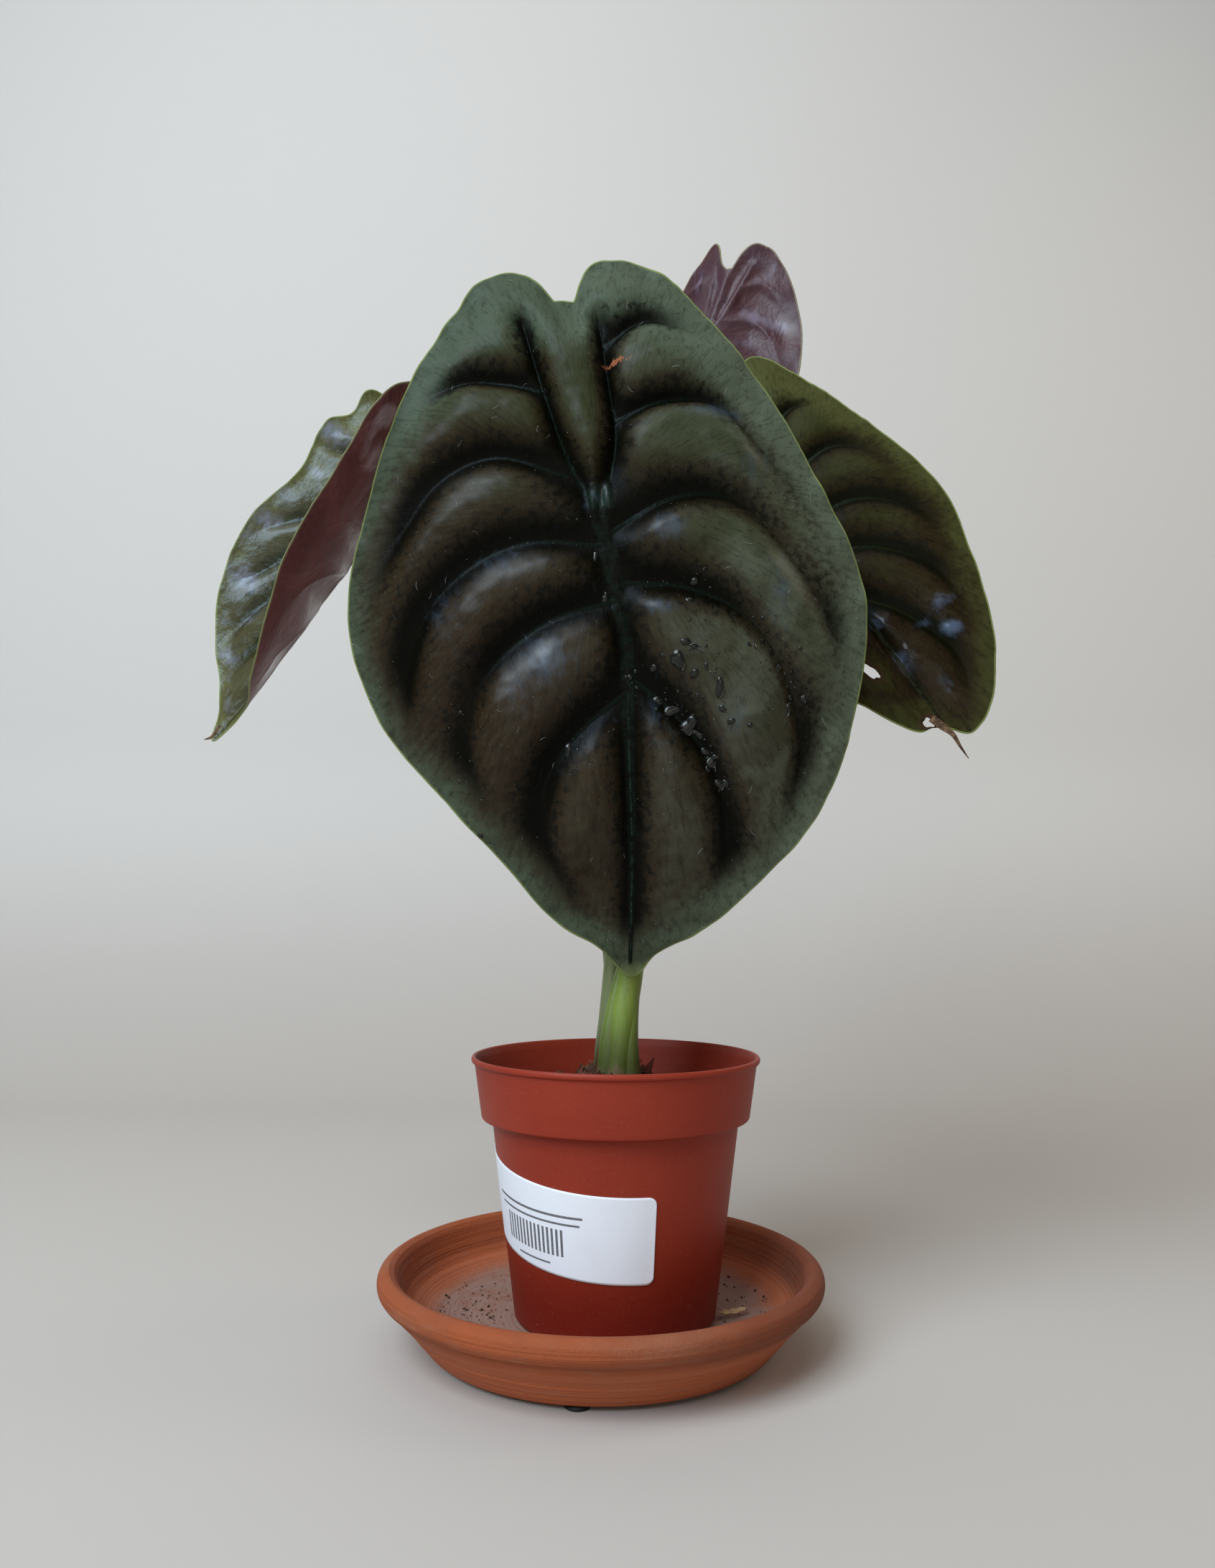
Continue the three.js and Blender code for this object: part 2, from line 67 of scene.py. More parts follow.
class Side(Enum):
    """The two sides of a leaf blade, as the blade's material slots."""

    TOP = 0
    UNDER = 1


class Heap(Enum):
    """How strewn bits lie on what carries them, as their least and largest turns."""

    TUMBLED = ((-3.1, -3.1, -3.1), (3.1, 3.1, 3.1))
    SEATED = ((0, 0, 0), (0, 0, 6.28))


# Curves, ripples and outlines

def bench_metres(points: np.ndarray) -> np.ndarray:
    """Turns millimetres from the saucer's axis into metres in the frame.

    Args:
        points: Points as rows of three numbers.

    Returns:
        The same points in the frame.
    """
    low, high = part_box("saucer")
    axis = np.array([(low.x + high.x) / 2, (low.y + high.y) / 2, 0.0])
    return np.asarray(points, float) * MM + axis


def cubic(t: np.ndarray, here: np.ndarray, there: np.ndarray, leave: np.ndarray,
          arrive: np.ndarray) -> np.ndarray:
    """Reads a cubic between two points.

    Args:
        t: Shares of the way, from 0 to 1.
        here: The first point.
        there: The second point.
        leave: The heading at the first point.
        arrive: The heading at the second point.

    Returns:
        The points or heights there.
    """
    return (
        (2 * t**3 - 3 * t**2 + 1) * here + (t**3 - 2 * t**2 + t) * leave
        + (3 * t**2 - 2 * t**3) * there + (t**3 - t**2) * arrive
    )


def knot_curve(knots: Sequence[FlatPoint], at: np.ndarray) -> np.ndarray:
    """Reads a smooth curve through knots.

    Args:
        knots: Pairs of place and height, in rising order of place.
        at: The places to read.

    Returns:
        The heights there.
    """
    places, heights = np.asarray(knots, float).T
    gaps = np.diff(places)
    slopes = np.diff(heights) / gaps
    tangents = np.concatenate([slopes[:1], np.zeros(len(places) - 2), slopes[-1:]])
    tangents[1:-1] = (slopes[:-1] * gaps[1:] + slopes[1:] * gaps[:-1]) / (gaps[1:] + gaps[:-1])
    i = np.clip(np.searchsorted(places, at, "right") - 1, 0, len(places) - 2)
    t = (at - places[i]) / gaps[i]
    return cubic(t, heights[i], heights[i + 1], gaps[i] * tangents[i], gaps[i] * tangents[i + 1])


def evenly(path: np.ndarray, spacing: float) -> np.ndarray:
    """Walks along a path in even steps.

    Args:
        path: The path's points.
        spacing: The wanted step.

    Returns:
        Points at even steps, with both ends kept.
    """
    steps = np.linalg.norm(np.diff(path, axis=0), axis=1)
    run = np.concatenate([[0.0], np.cumsum(steps)])
    count = max(2, round(run[-1] / spacing) + 1)
    wanted = np.linspace(0, run[-1], count)
    return np.stack([np.interp(wanted, run, column) for column in path.T], axis=1)


def curve_through(points: Sequence[Sequence[float]], spacing: float) -> np.ndarray:
    """Draws a centripetal curve through a few points.

    Args:
        points: The points it passes, in two or three dimensions.
        spacing: The step between the points of the result.

    Returns:
        Evenly spaced points along the curve.
    """
    knots = np.asarray(points, float)
    row = np.vstack([2 * knots[0] - knots[1], knots, 2 * knots[-1] - knots[-2]])
    gaps = np.linalg.norm(np.diff(row, axis=0), axis=1) ** 0.5
    t = np.linspace(0, 1, 41)[:, None]
    parts = []
    for i in range(1, len(row) - 2):
        before, here, there, after = row[i - 1:i + 3]
        d0, d1, d2 = gaps[i - 1:i + 2]
        leave = ((here - before) / d0 - (there - before) / (d0 + d1) + (there - here) / d1) * d1
        arrive = ((there - here) / d1 - (after - here) / (d1 + d2) + (after - there) / d2) * d1
        parts.append(cubic(t, here, there, leave, arrive))
    return evenly(np.vstack(parts), spacing)


def ripples(points: np.ndarray, wavelength: float, seed: int) -> np.ndarray:
    """A smooth random height made of plane waves that cross each other.

    Args:
        points: Where to read it.
        wavelength: The middle of its wavelengths.
        seed: Picks the waves.

    Returns:
        Heights that mostly lie between -1 and 1.
    """
    waves = 14
    rng = np.random.default_rng(seed)
    heading = rng.normal(size=(waves, points.shape[1]))
    heading /= np.linalg.norm(heading, axis=1)[:, None]
    count = 2 * math.pi / (wavelength * rng.uniform(0.65, 1.5, waves))
    phase = rng.uniform(0, 2 * math.pi, waves)
    return np.sin(points @ (heading * count[:, None]).T + phase).sum(axis=1) / math.sqrt(waves)


def fade(value: np.ndarray, low: float, high: float) -> np.ndarray:
    """A smooth step from 0 at low to 1 at high."""
    t = np.clip((value - low) / (high - low), 0, 1)
    return t * t * (3 - 2 * t)


def nearest(samples: np.ndarray, points: np.ndarray) -> tuple[np.ndarray, np.ndarray]:
    """Finds the sample that is nearest to each point.

    Args:
        samples: The samples, in the plane.
        points: The points, in the plane.

    Returns:
        The distances and the samples' numbers.
    """
    tree = kdtree.KDTree(len(samples))
    for i, (x, y) in enumerate(samples):
        tree.insert((x, y, 0), i)
    tree.balance()
    found = [tree.find((x, y, 0)) for x, y in points]
    return np.array([f[2] for f in found]), np.array([f[1] for f in found])


def spots(flat: np.ndarray, marks: Sequence[Spot]) -> np.ndarray:
    """Sum of soft spots, each given by its middle, its reach both ways and its strength.

    Args:
        flat: The flat points.
        marks: The spots.

    Returns:
        The sum at each point.
    """
    total = np.zeros(len(flat))
    for along, right, long, wide, strength in marks:
        total += strength * np.exp(-((flat[:, 0] - along) / long) ** 2 - ((flat[:, 1] - right) / wide) ** 2)
    return total


def offset_from(line: np.ndarray, points: np.ndarray) -> tuple[np.ndarray, np.ndarray]:
    """Measures how far points lie from a line, and on which side of it.

    Args:
        line: The line, in the plane.
        points: The points.

    Returns:
        The distances, and a number that is above 0 where the line's left hand is.
    """
    heading = np.gradient(line, axis=0)
    gaps, turns = [], []
    for block in np.array_split(points, max(1, len(points) // 3000)):
        away = block[:, None] - line[None]
        square = (away**2).sum(axis=2)
        best = square.argmin(axis=1)
        rows = np.arange(len(block))
        off = away[rows, best]
        along = heading[best]
        gaps.append(np.sqrt(square[rows, best]))
        turns.append(along[:, 0] * off[:, 1] - along[:, 1] * off[:, 0])
    return np.concatenate(gaps), np.concatenate(turns)


def inside(points: np.ndarray, loop: np.ndarray) -> np.ndarray:
    """Says which points lie inside a closed loop.

    Args:
        points: Points in the plane.
        loop: The loop's corners.

    Returns:
        One truth value for each point.
    """
    (x0, y0), (x1, y1) = loop.T, np.roll(loop, -1, axis=0).T
    hits = []
    for block in np.array_split(points, max(1, len(points) // 4000)):
        x, y = block[:, :1], block[:, 1:]
        spans = (y0 > y) != (y1 > y)
        reach = (x1 - x0) * (y - y0) / np.where(y1 == y0, 1e-9, y1 - y0) + x0
        hits.append((spans & (x < reach)).sum(axis=1) % 2 == 1)
    return np.concatenate(hits)


def turned(profile: Sequence[FlatPoint], sides: int, centre: FlatPoint = (0, 0)) -> tuple[np.ndarray, Faces]:
    """Turns a profile about an upright axis into a closed shell.

    Args:
        profile: Radius and height pairs that start and end on the axis, with the outside met first.
        sides: How many faces go round.
        centre: Where the axis stands.

    Returns:
        The points and the faces.
    """
    outline = np.asarray(profile, float)
    middle = outline[1:-1]
    angle = np.arange(sides) * 2 * math.pi / sides
    ring = np.stack([np.cos(angle), np.sin(angle)], axis=1)
    rows = np.concatenate([
        middle[:, None, :1] * ring[None] + np.asarray(centre, float),
        np.repeat(middle[:, None, 1:], sides, axis=1),
    ], axis=2).reshape(-1, 3)
    poles = np.array([[*centre, outline[0, 1]], [*centre, outline[-1, 1]]])
    first, last = len(rows), len(rows) + 1
    step = np.roll(np.arange(sides), -1)
    faces = [(first, int(step[k]), k) for k in range(sides)]
    for j in range(len(middle) - 1):
        low, high = j * sides, (j + 1) * sides
        faces += [(low + k, int(low + step[k]), int(high + step[k]), high + k) for k in range(sides)]
    top = (len(middle) - 1) * sides
    faces += [(last, top + k, int(top + step[k])) for k in range(sides)]
    return np.vstack([rows, poles]), faces


def eased(profile: Sequence[FlatPoint], radius: float, steps: int = 5) -> list[FlatPoint]:
    """Rounds the corners of a profile.

    Args:
        profile: The corners, the first and last of which stay.
        radius: How far from a corner the rounding starts.
        steps: How many steps make one rounding.

    Returns:
        The rounded profile.
    """
    points = np.asarray(profile, float)
    made = [points[0]]
    for before, corner, after in zip(points, points[1:], points[2:]):
        arms = [a * min(radius / np.linalg.norm(a), 0.45) for a in (before - corner, after - corner)]
        for t in np.linspace(0, 1, steps):
            made.append(corner + arms[0] * (1 - t) ** 2 + arms[1] * t**2)
    return [tuple(p) for p in [*made, points[-1]]]


def stepped(profile: Sequence[FlatPoint], longest: float) -> list[FlatPoint]:
    """Adds points to a profile wherever a step is longer than it may be.

    Args:
        profile: The profile's points.
        longest: The longest step that may stay.

    Returns:
        The points with those added.
    """
    made = [profile[0]]
    for start, end in zip(profile, profile[1:]):
        pieces = math.ceil(math.dist(start, end) / longest)
        made += [tuple(np.array(start) + (np.array(end) - start) * k / pieces) for k in range(1, pieces + 1)]
    return made


def sheet_faces(rows: int, columns: int, flipped: bool = False) -> Faces:
    """Closes two layers of points into a thin sheet.

    Args:
        rows: Rows of points in a layer.
        columns: Points in a row.
        flipped: Whether the first layer's faces look the other way.

    Returns:
        The faces of the first layer, of the second layer behind it and of the rim.
    """
    count = rows * columns
    quads = [(a, a + 1, a + columns + 1, a + columns)
             for i in range(rows - 1) for a in range(i * columns, (i + 1) * columns - 1)]
    rim = [*range(columns), *range(2 * columns - 1, count, columns),
           *range(count - 2, count - columns - 1, -1), *range(count - 2 * columns, 0, -columns)]
    if flipped:
        quads = [(quad[0], *quad[:0:-1]) for quad in quads]
        rim = [rim[0], *rim[:0:-1]]
    faces = quads + [tuple(corner + count for corner in quad[::-1]) for quad in quads]
    return faces + [(b, a, a + count, b + count) for a, b in zip(rim, rim[1:] + rim[:1])]


def tapered(path: np.ndarray, half_widths: Sequence[float], flatness: float,
            sides: int) -> tuple[np.ndarray, Faces]:
    """Sweeps a flat, faintly keeled section of changing width along a path.

    Args:
        path: The path's points.
        half_widths: Half widths at even steps from its start to its end.
        flatness: Thickness as a share of width.
        sides: Points round the section.

    Returns:
        The points and the faces.
    """
    ahead = np.gradient(path, axis=0)
    ahead /= np.linalg.norm(ahead, axis=1)[:, None]
    across = np.cross(ahead, (0, 1, 0))
    across /= np.linalg.norm(across, axis=1)[:, None]
    depth = np.cross(across, ahead)
    steps = np.linspace(0, 1, len(path))
    half = knot_curve([(i / (len(half_widths) - 1), w) for i, w in enumerate(half_widths)], steps)
    turn = np.linspace(0, 2 * math.pi, sides, endpoint=False)
    wide = (half[:, None] * np.cos(turn))[:, :, None]
    deep = (half[:, None] * np.sin(turn) * flatness * (1 + 0.25 * np.cos(2 * turn)))[:, :, None]
    points = (path[:, None, :] + wide * across[:, None, :] + deep * depth[:, None, :]).reshape(-1, 3)
    faces = [(low + k, low + (k + 1) % sides, low + sides + (k + 1) % sides, low + sides + k)
             for low in range(0, (len(path) - 1) * sides, sides) for k in range(sides)]
    faces += [tuple(range(sides))[::-1], tuple(range(len(points) - sides, len(points)))]
    return points, faces


# Node trees

class Wire:
    """A value that runs through a node tree. Sums on it add Math nodes."""

    def __init__(self, board: "NodeBoard", socket: NodeSocket) -> None:
        """Keeps the board that new nodes go to and the socket the value leaves."""
        self.board = board
        self.socket = socket

    def sum(self, operation: str, first: "Number", second: "Number" = 0.0) -> "Wire":
        """Adds one Math node.

        Args:
            operation: The Math node's operation.
            first: Its first value.
            second: Its second value.

        Returns:
            The result.
        """
        node = self.board.node("ShaderNodeMath", {"operation": operation}, {0: first, 1: second})
        return Wire(self.board, node.outputs[0])

    def __add__(self, other: "Number") -> "Wire":
        """This value plus another."""
        return self.sum("ADD", self, other)

    def __radd__(self, other: "Number") -> "Wire":
        """Another value plus this one."""
        return self.sum("ADD", other, self)

    def __sub__(self, other: "Number") -> "Wire":
        """This value less another."""
        return self.sum("SUBTRACT", self, other)

    def __rsub__(self, other: "Number") -> "Wire":
        """Another value less this one."""
        return self.sum("SUBTRACT", other, self)

    def __mul__(self, other: "Number") -> "Wire":
        """This value times another."""
        return self.sum("MULTIPLY", self, other)

    def __rmul__(self, other: "Number") -> "Wire":
        """Another value times this one."""
        return self.sum("MULTIPLY", other, self)

    def __truediv__(self, other: "Number") -> "Wire":
        """This value over another."""
        return self.sum("DIVIDE", self, other)

    def __pow__(self, other: "Number") -> "Wire":
        """This value to a power."""
        return self.sum("POWER", self, other)

    def least(self, other: "Number") -> "Wire":
        """The smaller of this value and another."""
        return self.sum("MINIMUM", self, other)

    def most(self, other: "Number") -> "Wire":
        """The larger of this value and another."""
        return self.sum("MAXIMUM", self, other)

    def part(self) -> "Wire":
        """What is left over the last whole number."""
        return self.sum("FRACT", self)


Number = Wire | float


class NodeBoard:
    """A node tree, and the one method that adds nodes to it."""

    def __init__(self, tree: NodeTree) -> None:
        """Keeps the tree."""
        self.tree = tree

    def node(self, kind: str, settings: dict | None = None, inputs: dict | None = None) -> Node:
        """Adds a node.

        Args:
            kind: The node's type.
            settings: Its own settings, which are set first.
            inputs: A value or a link for each socket, by name or number.

        Returns:
            The node.
        """
        node = self.tree.nodes.new(kind)
        for name, value in (settings or {}).items():
            setattr(node, name, value)
        for key, value in (inputs or {}).items():
            socket = node.inputs[key]
            if isinstance(value, Wire):
                self.tree.links.new(value.socket, socket)
            elif isinstance(value, NodeSocket):
                self.tree.links.new(value, socket)
            elif socket.type == "RGBA":
                socket.default_value = (*value, 1.0)
            else:
                socket.default_value = value
        return node

    def between(self, value: Number, low: float, high: float) -> Wire:
        """A smooth step.

        Args:
            value: What is read.
            low: Where it is 0.
            high: Where it is 1.

        Returns:
            A value from 0 to 1.
        """
        made = self.node(
            "ShaderNodeMapRange", {"interpolation_type": "SMOOTHSTEP"},
            {"Value": value, "From Min": low, "From Max": high},
        )
        return Wire(self, made.outputs["Result"])


class FinishBoard(NodeBoard):
    """The node tree of one finish."""

    def __init__(self, name: str) -> None:
        """Makes an empty material of that name.

        Args:
            name: The material's name.
        """
        self.material = bpy.data.materials.new(name)
        self.material.use_nodes = True
        self.material.node_tree.nodes.clear()
        super().__init__(self.material.node_tree)

    def own_place(self, centre: Point = (0, 0, 0)) -> NodeSocket:
        """The piece's own coordinates.

        Args:
            centre: The point in the frame, in metres, that becomes the origin.

        Returns:
            The vector in metres.
        """
        read = self.node("ShaderNodeTexCoord")
        moved = self.node(
            "ShaderNodeMapping", {"vector_type": "TEXTURE"},
            {"Vector": read.outputs["Object"], "Location": centre},
        )
        return moved.outputs["Vector"]

    def reading(self, name: str) -> Wire:
        """A number that the mesh holds under a name."""
        return Wire(self, self.node("ShaderNodeAttribute", {"attribute_name": name}).outputs["Fac"])

    def reading_vector(self, name: str) -> NodeSocket:
        """A vector that the mesh holds under a name."""
        return self.node("ShaderNodeAttribute", {"attribute_name": name}).outputs["Vector"]

    def apart(self, vector: NodeSocket) -> tuple[Wire, Wire, Wire]:
        """The three numbers of a vector."""
        made = self.node("ShaderNodeSeparateXYZ", None, {"Vector": vector})
        return tuple(Wire(self, made.outputs[i]) for i in range(3))

    def together(self, x: Number, y: Number, z: Number) -> NodeSocket:
        """A vector of three numbers."""
        return self.node("ShaderNodeCombineXYZ", None, {0: x, 1: y, 2: z}).outputs["Vector"]

    def grain(self, place: NodeSocket, count: float, detail: float = 3, rough: float = 0.55,
              swirl: float = 0) -> Wire:
        """Cloudy noise.

        Args:
            place: Where it is read.
            count: Features in each metre.
            detail: Finer layers.
            rough: Weight of the finer layers.
            swirl: How far it is bent by itself.

        Returns:
            A value about a half.
        """
        made = self.node("ShaderNodeTexNoise", None, {
            "Vector": place, "Scale": count, "Detail": detail, "Roughness": rough, "Distortion": swirl,
        })
        return Wire(self, made.outputs["Fac"])

    def stretched(self, place: NodeSocket, scale: Point,
                  turn: Point = (0, 0, 0)) -> NodeSocket:
        """The same place, drawn out along its axes."""
        made = self.node("ShaderNodeMapping", None, {"Vector": place, "Scale": scale, "Rotation": turn})
        return made.outputs["Vector"]

    def over(self, share: Number, under: object, cover: object) -> NodeSocket:
        """Lays one colour over another.

        Args:
            share: How much of the cover shows.
            under: The colour below.
            cover: The colour above.

        Returns:
            The colour.
        """
        made = self.node("ShaderNodeMix", {"data_type": "RGBA", "clamp_factor": True},
                         {0: share, 6: under, 7: cover})
        return made.outputs[2]

    def bumped(self, height: Wire, depth: float,
               below: NodeSocket | None = None) -> NodeSocket:
        """A normal that follows a height.

        Args:
            height: The height, about 0 to 1.
            depth: What a height of 1 measures, in metres.
            below: A normal to start from.

        Returns:
            The normal.
        """
        inputs = {"Height": height, "Distance": depth, "Strength": 1.0}
        if below is not None:
            inputs["Normal"] = below
        return self.node("ShaderNodeBump", None, inputs).outputs["Normal"]

    def surface(self, inputs: dict) -> Material:
        """Closes the tree with the surface shader.

        Args:
            inputs: The shader's values and links by socket name.

        Returns:
            The material.
        """
        shader = self.node("ShaderNodeBsdfPrincipled", None, inputs)
        self.node("ShaderNodeOutputMaterial", None, {"Surface": shader.outputs["BSDF"]})
        return self.material


class GrowthBoard(NodeBoard):
    """A geometry node tree with named inputs, run once on a plain mesh."""

    def __init__(self, name: str) -> None:
        """Makes an empty tree with a geometry socket at each end.

        Args:
            name: The tree's name.
        """
        tree = bpy.data.node_groups.new(name, "GeometryNodeTree")
        super().__init__(tree)
        tree.interface.new_socket("Geometry", in_out="INPUT", socket_type="NodeSocketGeometry")
        tree.interface.new_socket("Geometry", in_out="OUTPUT", socket_type="NodeSocketGeometry")
        self.values: dict[str, object] = {}
        self.start = self.node("NodeGroupInput")

    @property
    def ground(self) -> NodeSocket:
        """The geometry that comes in."""
        return self.start.outputs[0]

    def named(self, name: str, value: float | int) -> Wire:
        """Adds a named input.

        Args:
            name: The input's name.
            value: What it is set to, a whole number for a count or seed.

        Returns:
            The value inside the tree.
        """
        kind = "NodeSocketInt" if isinstance(value, int) else "NodeSocketFloat"
        item = self.tree.interface.new_socket(name, in_out="INPUT", socket_type=kind)
        self.values[item.identifier] = value
        return Wire(self, self.start.outputs[name])

    def random(self, low: float, high: float, seed: Number) -> Wire:
        """A random number for each point."""
        made = self.node("FunctionNodeRandomValue", {"data_type": "FLOAT"}, {2: low, 3: high, "Seed": seed})
        return Wire(self, made.outputs[1])

    def scatter(self, density: Wire, seed: Wire,
                thickness: str) -> tuple[Node, NodeSocket]:
        """Scatters points over the ground, each with a random tone.

        Args:
            density: Points to a square millimetre.
            seed: Picks the places and the tones.
            thickness: The reading on the ground that scales the density, or nothing.

        Returns:
            The node that scatters them, and the points with their tones.
        """
        density = density * MM**-2
        if thickness:
            read = self.node("GeometryNodeInputNamedAttribute", {"data_type": "FLOAT"}, {"Name": thickness})
            density = density * Wire(self, read.outputs[0])
        points = self.node("GeometryNodeDistributePointsOnFaces", {"distribute_method": "RANDOM"},
                           {"Mesh": self.ground, "Density": density, "Seed": seed})
        toned = self.node("GeometryNodeStoreNamedAttribute", {"data_type": "FLOAT", "domain": "POINT"}, {
            "Geometry": points.outputs["Points"], "Name": "tone", "Value": self.random(0, 1, seed + 3)})
        return points, toned.outputs[0]

    def leant(self, points: Node, lean: tuple[Point, Point], seed: Wire) -> NodeSocket:
        """Turns the frame of each scattered point by random angles.

        Args:
            points: The node that scattered them.
            lean: The least and the largest turns about the three axes.
            seed: Picks the turns.

        Returns:
            The rotation for each point.
        """
        turn = self.node("FunctionNodeRandomValue", {"data_type": "FLOAT_VECTOR"},
                         {0: lean[0], 1: lean[1], "Seed": seed + 1})
        spin = self.node("FunctionNodeEulerToRotation", None, {"Euler": turn.outputs[0]})
        way = self.node("FunctionNodeRotateRotation", {"rotation_space": "LOCAL"},
                        {"Rotation": points.outputs["Rotation"], "Rotate By": spin.outputs[0]})
        return way.outputs[0]

    def close(self, geometry: NodeSocket, material: Material) -> None:
        """Ends the tree.

        Args:
            geometry: What it has grown.
            material: What that is made of.
        """
        real = self.node("GeometryNodeRealizeInstances", None, {"Geometry": geometry})
        smooth = self.node("GeometryNodeSetShadeSmooth", None, {"Geometry": real.outputs[0]})
        dressed = self.node("GeometryNodeSetMaterial", None,
                            {"Geometry": smooth.outputs[0], "Material": material})
        self.node("NodeGroupOutput", None, {0: dressed.outputs[0]})

    def grow(self, name: str, seedbed: Mesh) -> Object:
        """Runs the tree on a mesh.

        Args:
            name: The new piece's name.
            seedbed: The mesh it grows from.

        Returns:
            A plain mesh object.
        """
        carrier = bpy.data.objects.new(name + "_carrier", seedbed)
        bpy.context.scene.collection.objects.link(carrier)
        modifier = carrier.modifiers.new("grow", "NODES")
        modifier.node_group = self.tree
        for identifier, value in self.values.items():
            modifier[identifier] = value
        evaluated = carrier.evaluated_get(bpy.context.evaluated_depsgraph_get())
        mesh = bpy.data.meshes.new_from_object(evaluated)
        carrier.modifiers.remove(modifier)
        bpy.data.objects.remove(carrier)
        mesh.name = name
        piece = bpy.data.objects.new(name, mesh)
        bpy.context.scene.collection.objects.link(piece)
        return piece


# Meshes and pieces

def new_mesh(name: str, points: np.ndarray, faces: Sequence, edges: Sequence = ()) -> Mesh:
    """Makes a smooth mesh from millimetre points.

    Args:
        name: The mesh's name.
        points: Points in millimetres from the saucer's axis.
        faces: Corner numbers of each face.
        edges: Loose edges, for a path.

    Returns:
        The mesh, in the frame.
    """
    mesh = bpy.data.meshes.new(name)
    mesh.from_pydata(bench_metres(points).tolist(), list(edges), faces)
    mesh.polygons.foreach_set("use_smooth", [True] * len(mesh.polygons))
    mesh.update()
    return mesh


def new_object(mesh: Mesh, *materials: Material) -> Object:
    """Puts a mesh in the scene as an object of the same name, with its materials.

    Args:
        mesh: The mesh.
        materials: What its faces may be made of.

    Returns:
        The object.
    """
    for material in materials:
        mesh.materials.append(material)
    made = bpy.data.objects.new(mesh.name, mesh)
    bpy.context.scene.collection.objects.link(made)
    return made


def hold(mesh: Mesh, name: str, values: np.ndarray) -> None:
    """Stores a number or a vector at each point of a mesh.

    Args:
        mesh: The mesh.
        name: What materials and trees read it by.
        values: One number or one row of three for each point.
    """
    flat = values.ndim == 1
    layer = mesh.attributes.new(name, "FLOAT" if flat else "FLOAT_VECTOR", "POINT")
    layer.data.foreach_set("value" if flat else "vector", values.astype(np.float32).ravel())


def hand_over(piece: Object, slot: str, *nodes: str) -> None:
    """Seats a finished piece on the frame and reports it.

    Args:
        piece: The piece, in its place.
        slot: A material slot name for its finish; not used.
        nodes: The solids that it stands for.
    """
    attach(piece, BODY)
    if nodes:
        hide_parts(*nodes)
    triangles = sum(len(p.vertices) - 2 for p in piece.data.polygons)
    LOG.info("%s: %d triangles, stands for %s", piece.name, triangles, ", ".join(nodes) or "nothing")


@dataclass(frozen=True)
class Finish:
    """A finish with its name. Its material is built once and shared."""

    name: str

    def paint(self, board: FinishBoard) -> Material:
        """Builds the material on an empty board."""
        raise NotImplementedError

    def material(self) -> Material:
        """The finish's material, built the first time it is asked for."""
        title = self.name + "_finish"
        return bpy.data.materials.get(title) or self.paint(FinishBoard(title))


def axis_in_frame(x: float = 0, y: float = 0, z: float = 0) -> Point:
    """A millimetre place as a point in the frame, for a material to centre its pattern on."""
    return tuple(bench_metres(np.array([x, y, z])))


# Finishes

@dataclass(frozen=True)
class FiredClay(Finish):
    """Unglazed clay with throwing rings, a pale mineral haze, a dusty floor and some painted shade and light.
    """

    body: Colour = (0.315, 0.073, 0.022)
    deep: Colour = (0.23, 0.058, 0.024)
    bloom_and_painted_sheen: Colour = (0.36, 0.18, 0.11)
    dust: Colour = (0.26, 0.165, 0.13)
    painted_right_shade: Colour = (0.14, 0.038, 0.018)
    painted_low_wall_light: Colour = (0.5, 0.125, 0.045)

    def paint(self, board: FinishBoard) -> Material:
        """Builds the material.

        Args:
            board: An empty board.

        Returns:
            The material.
        """
        place = board.own_place(axis_in_frame())
        x, y, z = board.apart(place)
        radius = (x * x + y * y) ** 0.5
        around = board.together(x / radius * 0.05, y / radius * 0.05, radius + z * 1.7)
        rings = board.grain(board.stretched(around, (6, 6, 420)), 1, 4)
        streaks = board.grain(board.stretched(around, (50, 50, 120)), 1, 5, 0.6)
        clouds = board.grain(place, 34, 5, 0.6, 0.6)
        grit = board.grain(place, 900, 3)
        tone = board.between(clouds, 0.35, 0.68)
        colour = board.over(tone * 0.55, self.body, self.deep)
        haze = board.between(streaks * 0.6 + clouds * 0.4, 0.47, 0.66)
        colour = board.over(haze * 0.36, colour, self.bloom_and_painted_sheen)
        low_wall = board.between(z, 0.002, 0.008) * (1 - board.between(z, 0.012, 0.0175))
        outside = board.between(radius - z * 0.6, 0.05, 0.058)
        colour = board.over(low_wall * outside * board.between(rings, 0.42, 0.62) * 0.25, colour, self.bloom_and_painted_sheen)
        # Painted shade: a darker band under the lip, on the outside.
        ridge = board.between(z, 0.0165, 0.0175) * (1 - board.between(z, 0.018, 0.019))
        colour = board.over(ridge * outside * 0.35, colour, self.deep)
        within = 1 - board.between(radius + (clouds - 0.5) * 0.02, 0.055, 0.066)
        floor = within * board.between(z, 0.005, 0.007)
        colour = board.over(floor * 0.85, colour, self.dust)
        stain = board.between(board.grain(place, 95, 6, 0.7), 0.5, 0.62)
        colour = board.over(floor * stain * 0.4, colour, self.deep)
        colour = board.over(board.between(grit, 0.62, 0.75) * 0.5, colour, self.deep)
        # Painted shade: the right side of the rim and upper wall is darkened.
        right = board.between(x - y * 0.3 + (clouds - 0.5) * 0.05, 0.035, 0.08)
        colour = board.over(right * board.between(z, 0.012, 0.018) * 0.7, colour, self.painted_right_shade)
        # Painted light: the outer lower wall is lightened to a brighter orange.
        painted_light_mask = outside * (1 - board.between(z, 0.013, 0.018))
        colour = board.over(painted_light_mask * 0.45, colour, self.painted_low_wall_light)
        normal = board.bumped(rings, 0.0008)
        normal = board.bumped(grit, 0.00022, normal)
        return board.surface({"Base Color": colour, "Roughness": 0.8 + haze * 0.15, "Normal": normal,
                              "Specular IOR Level": 0.3})


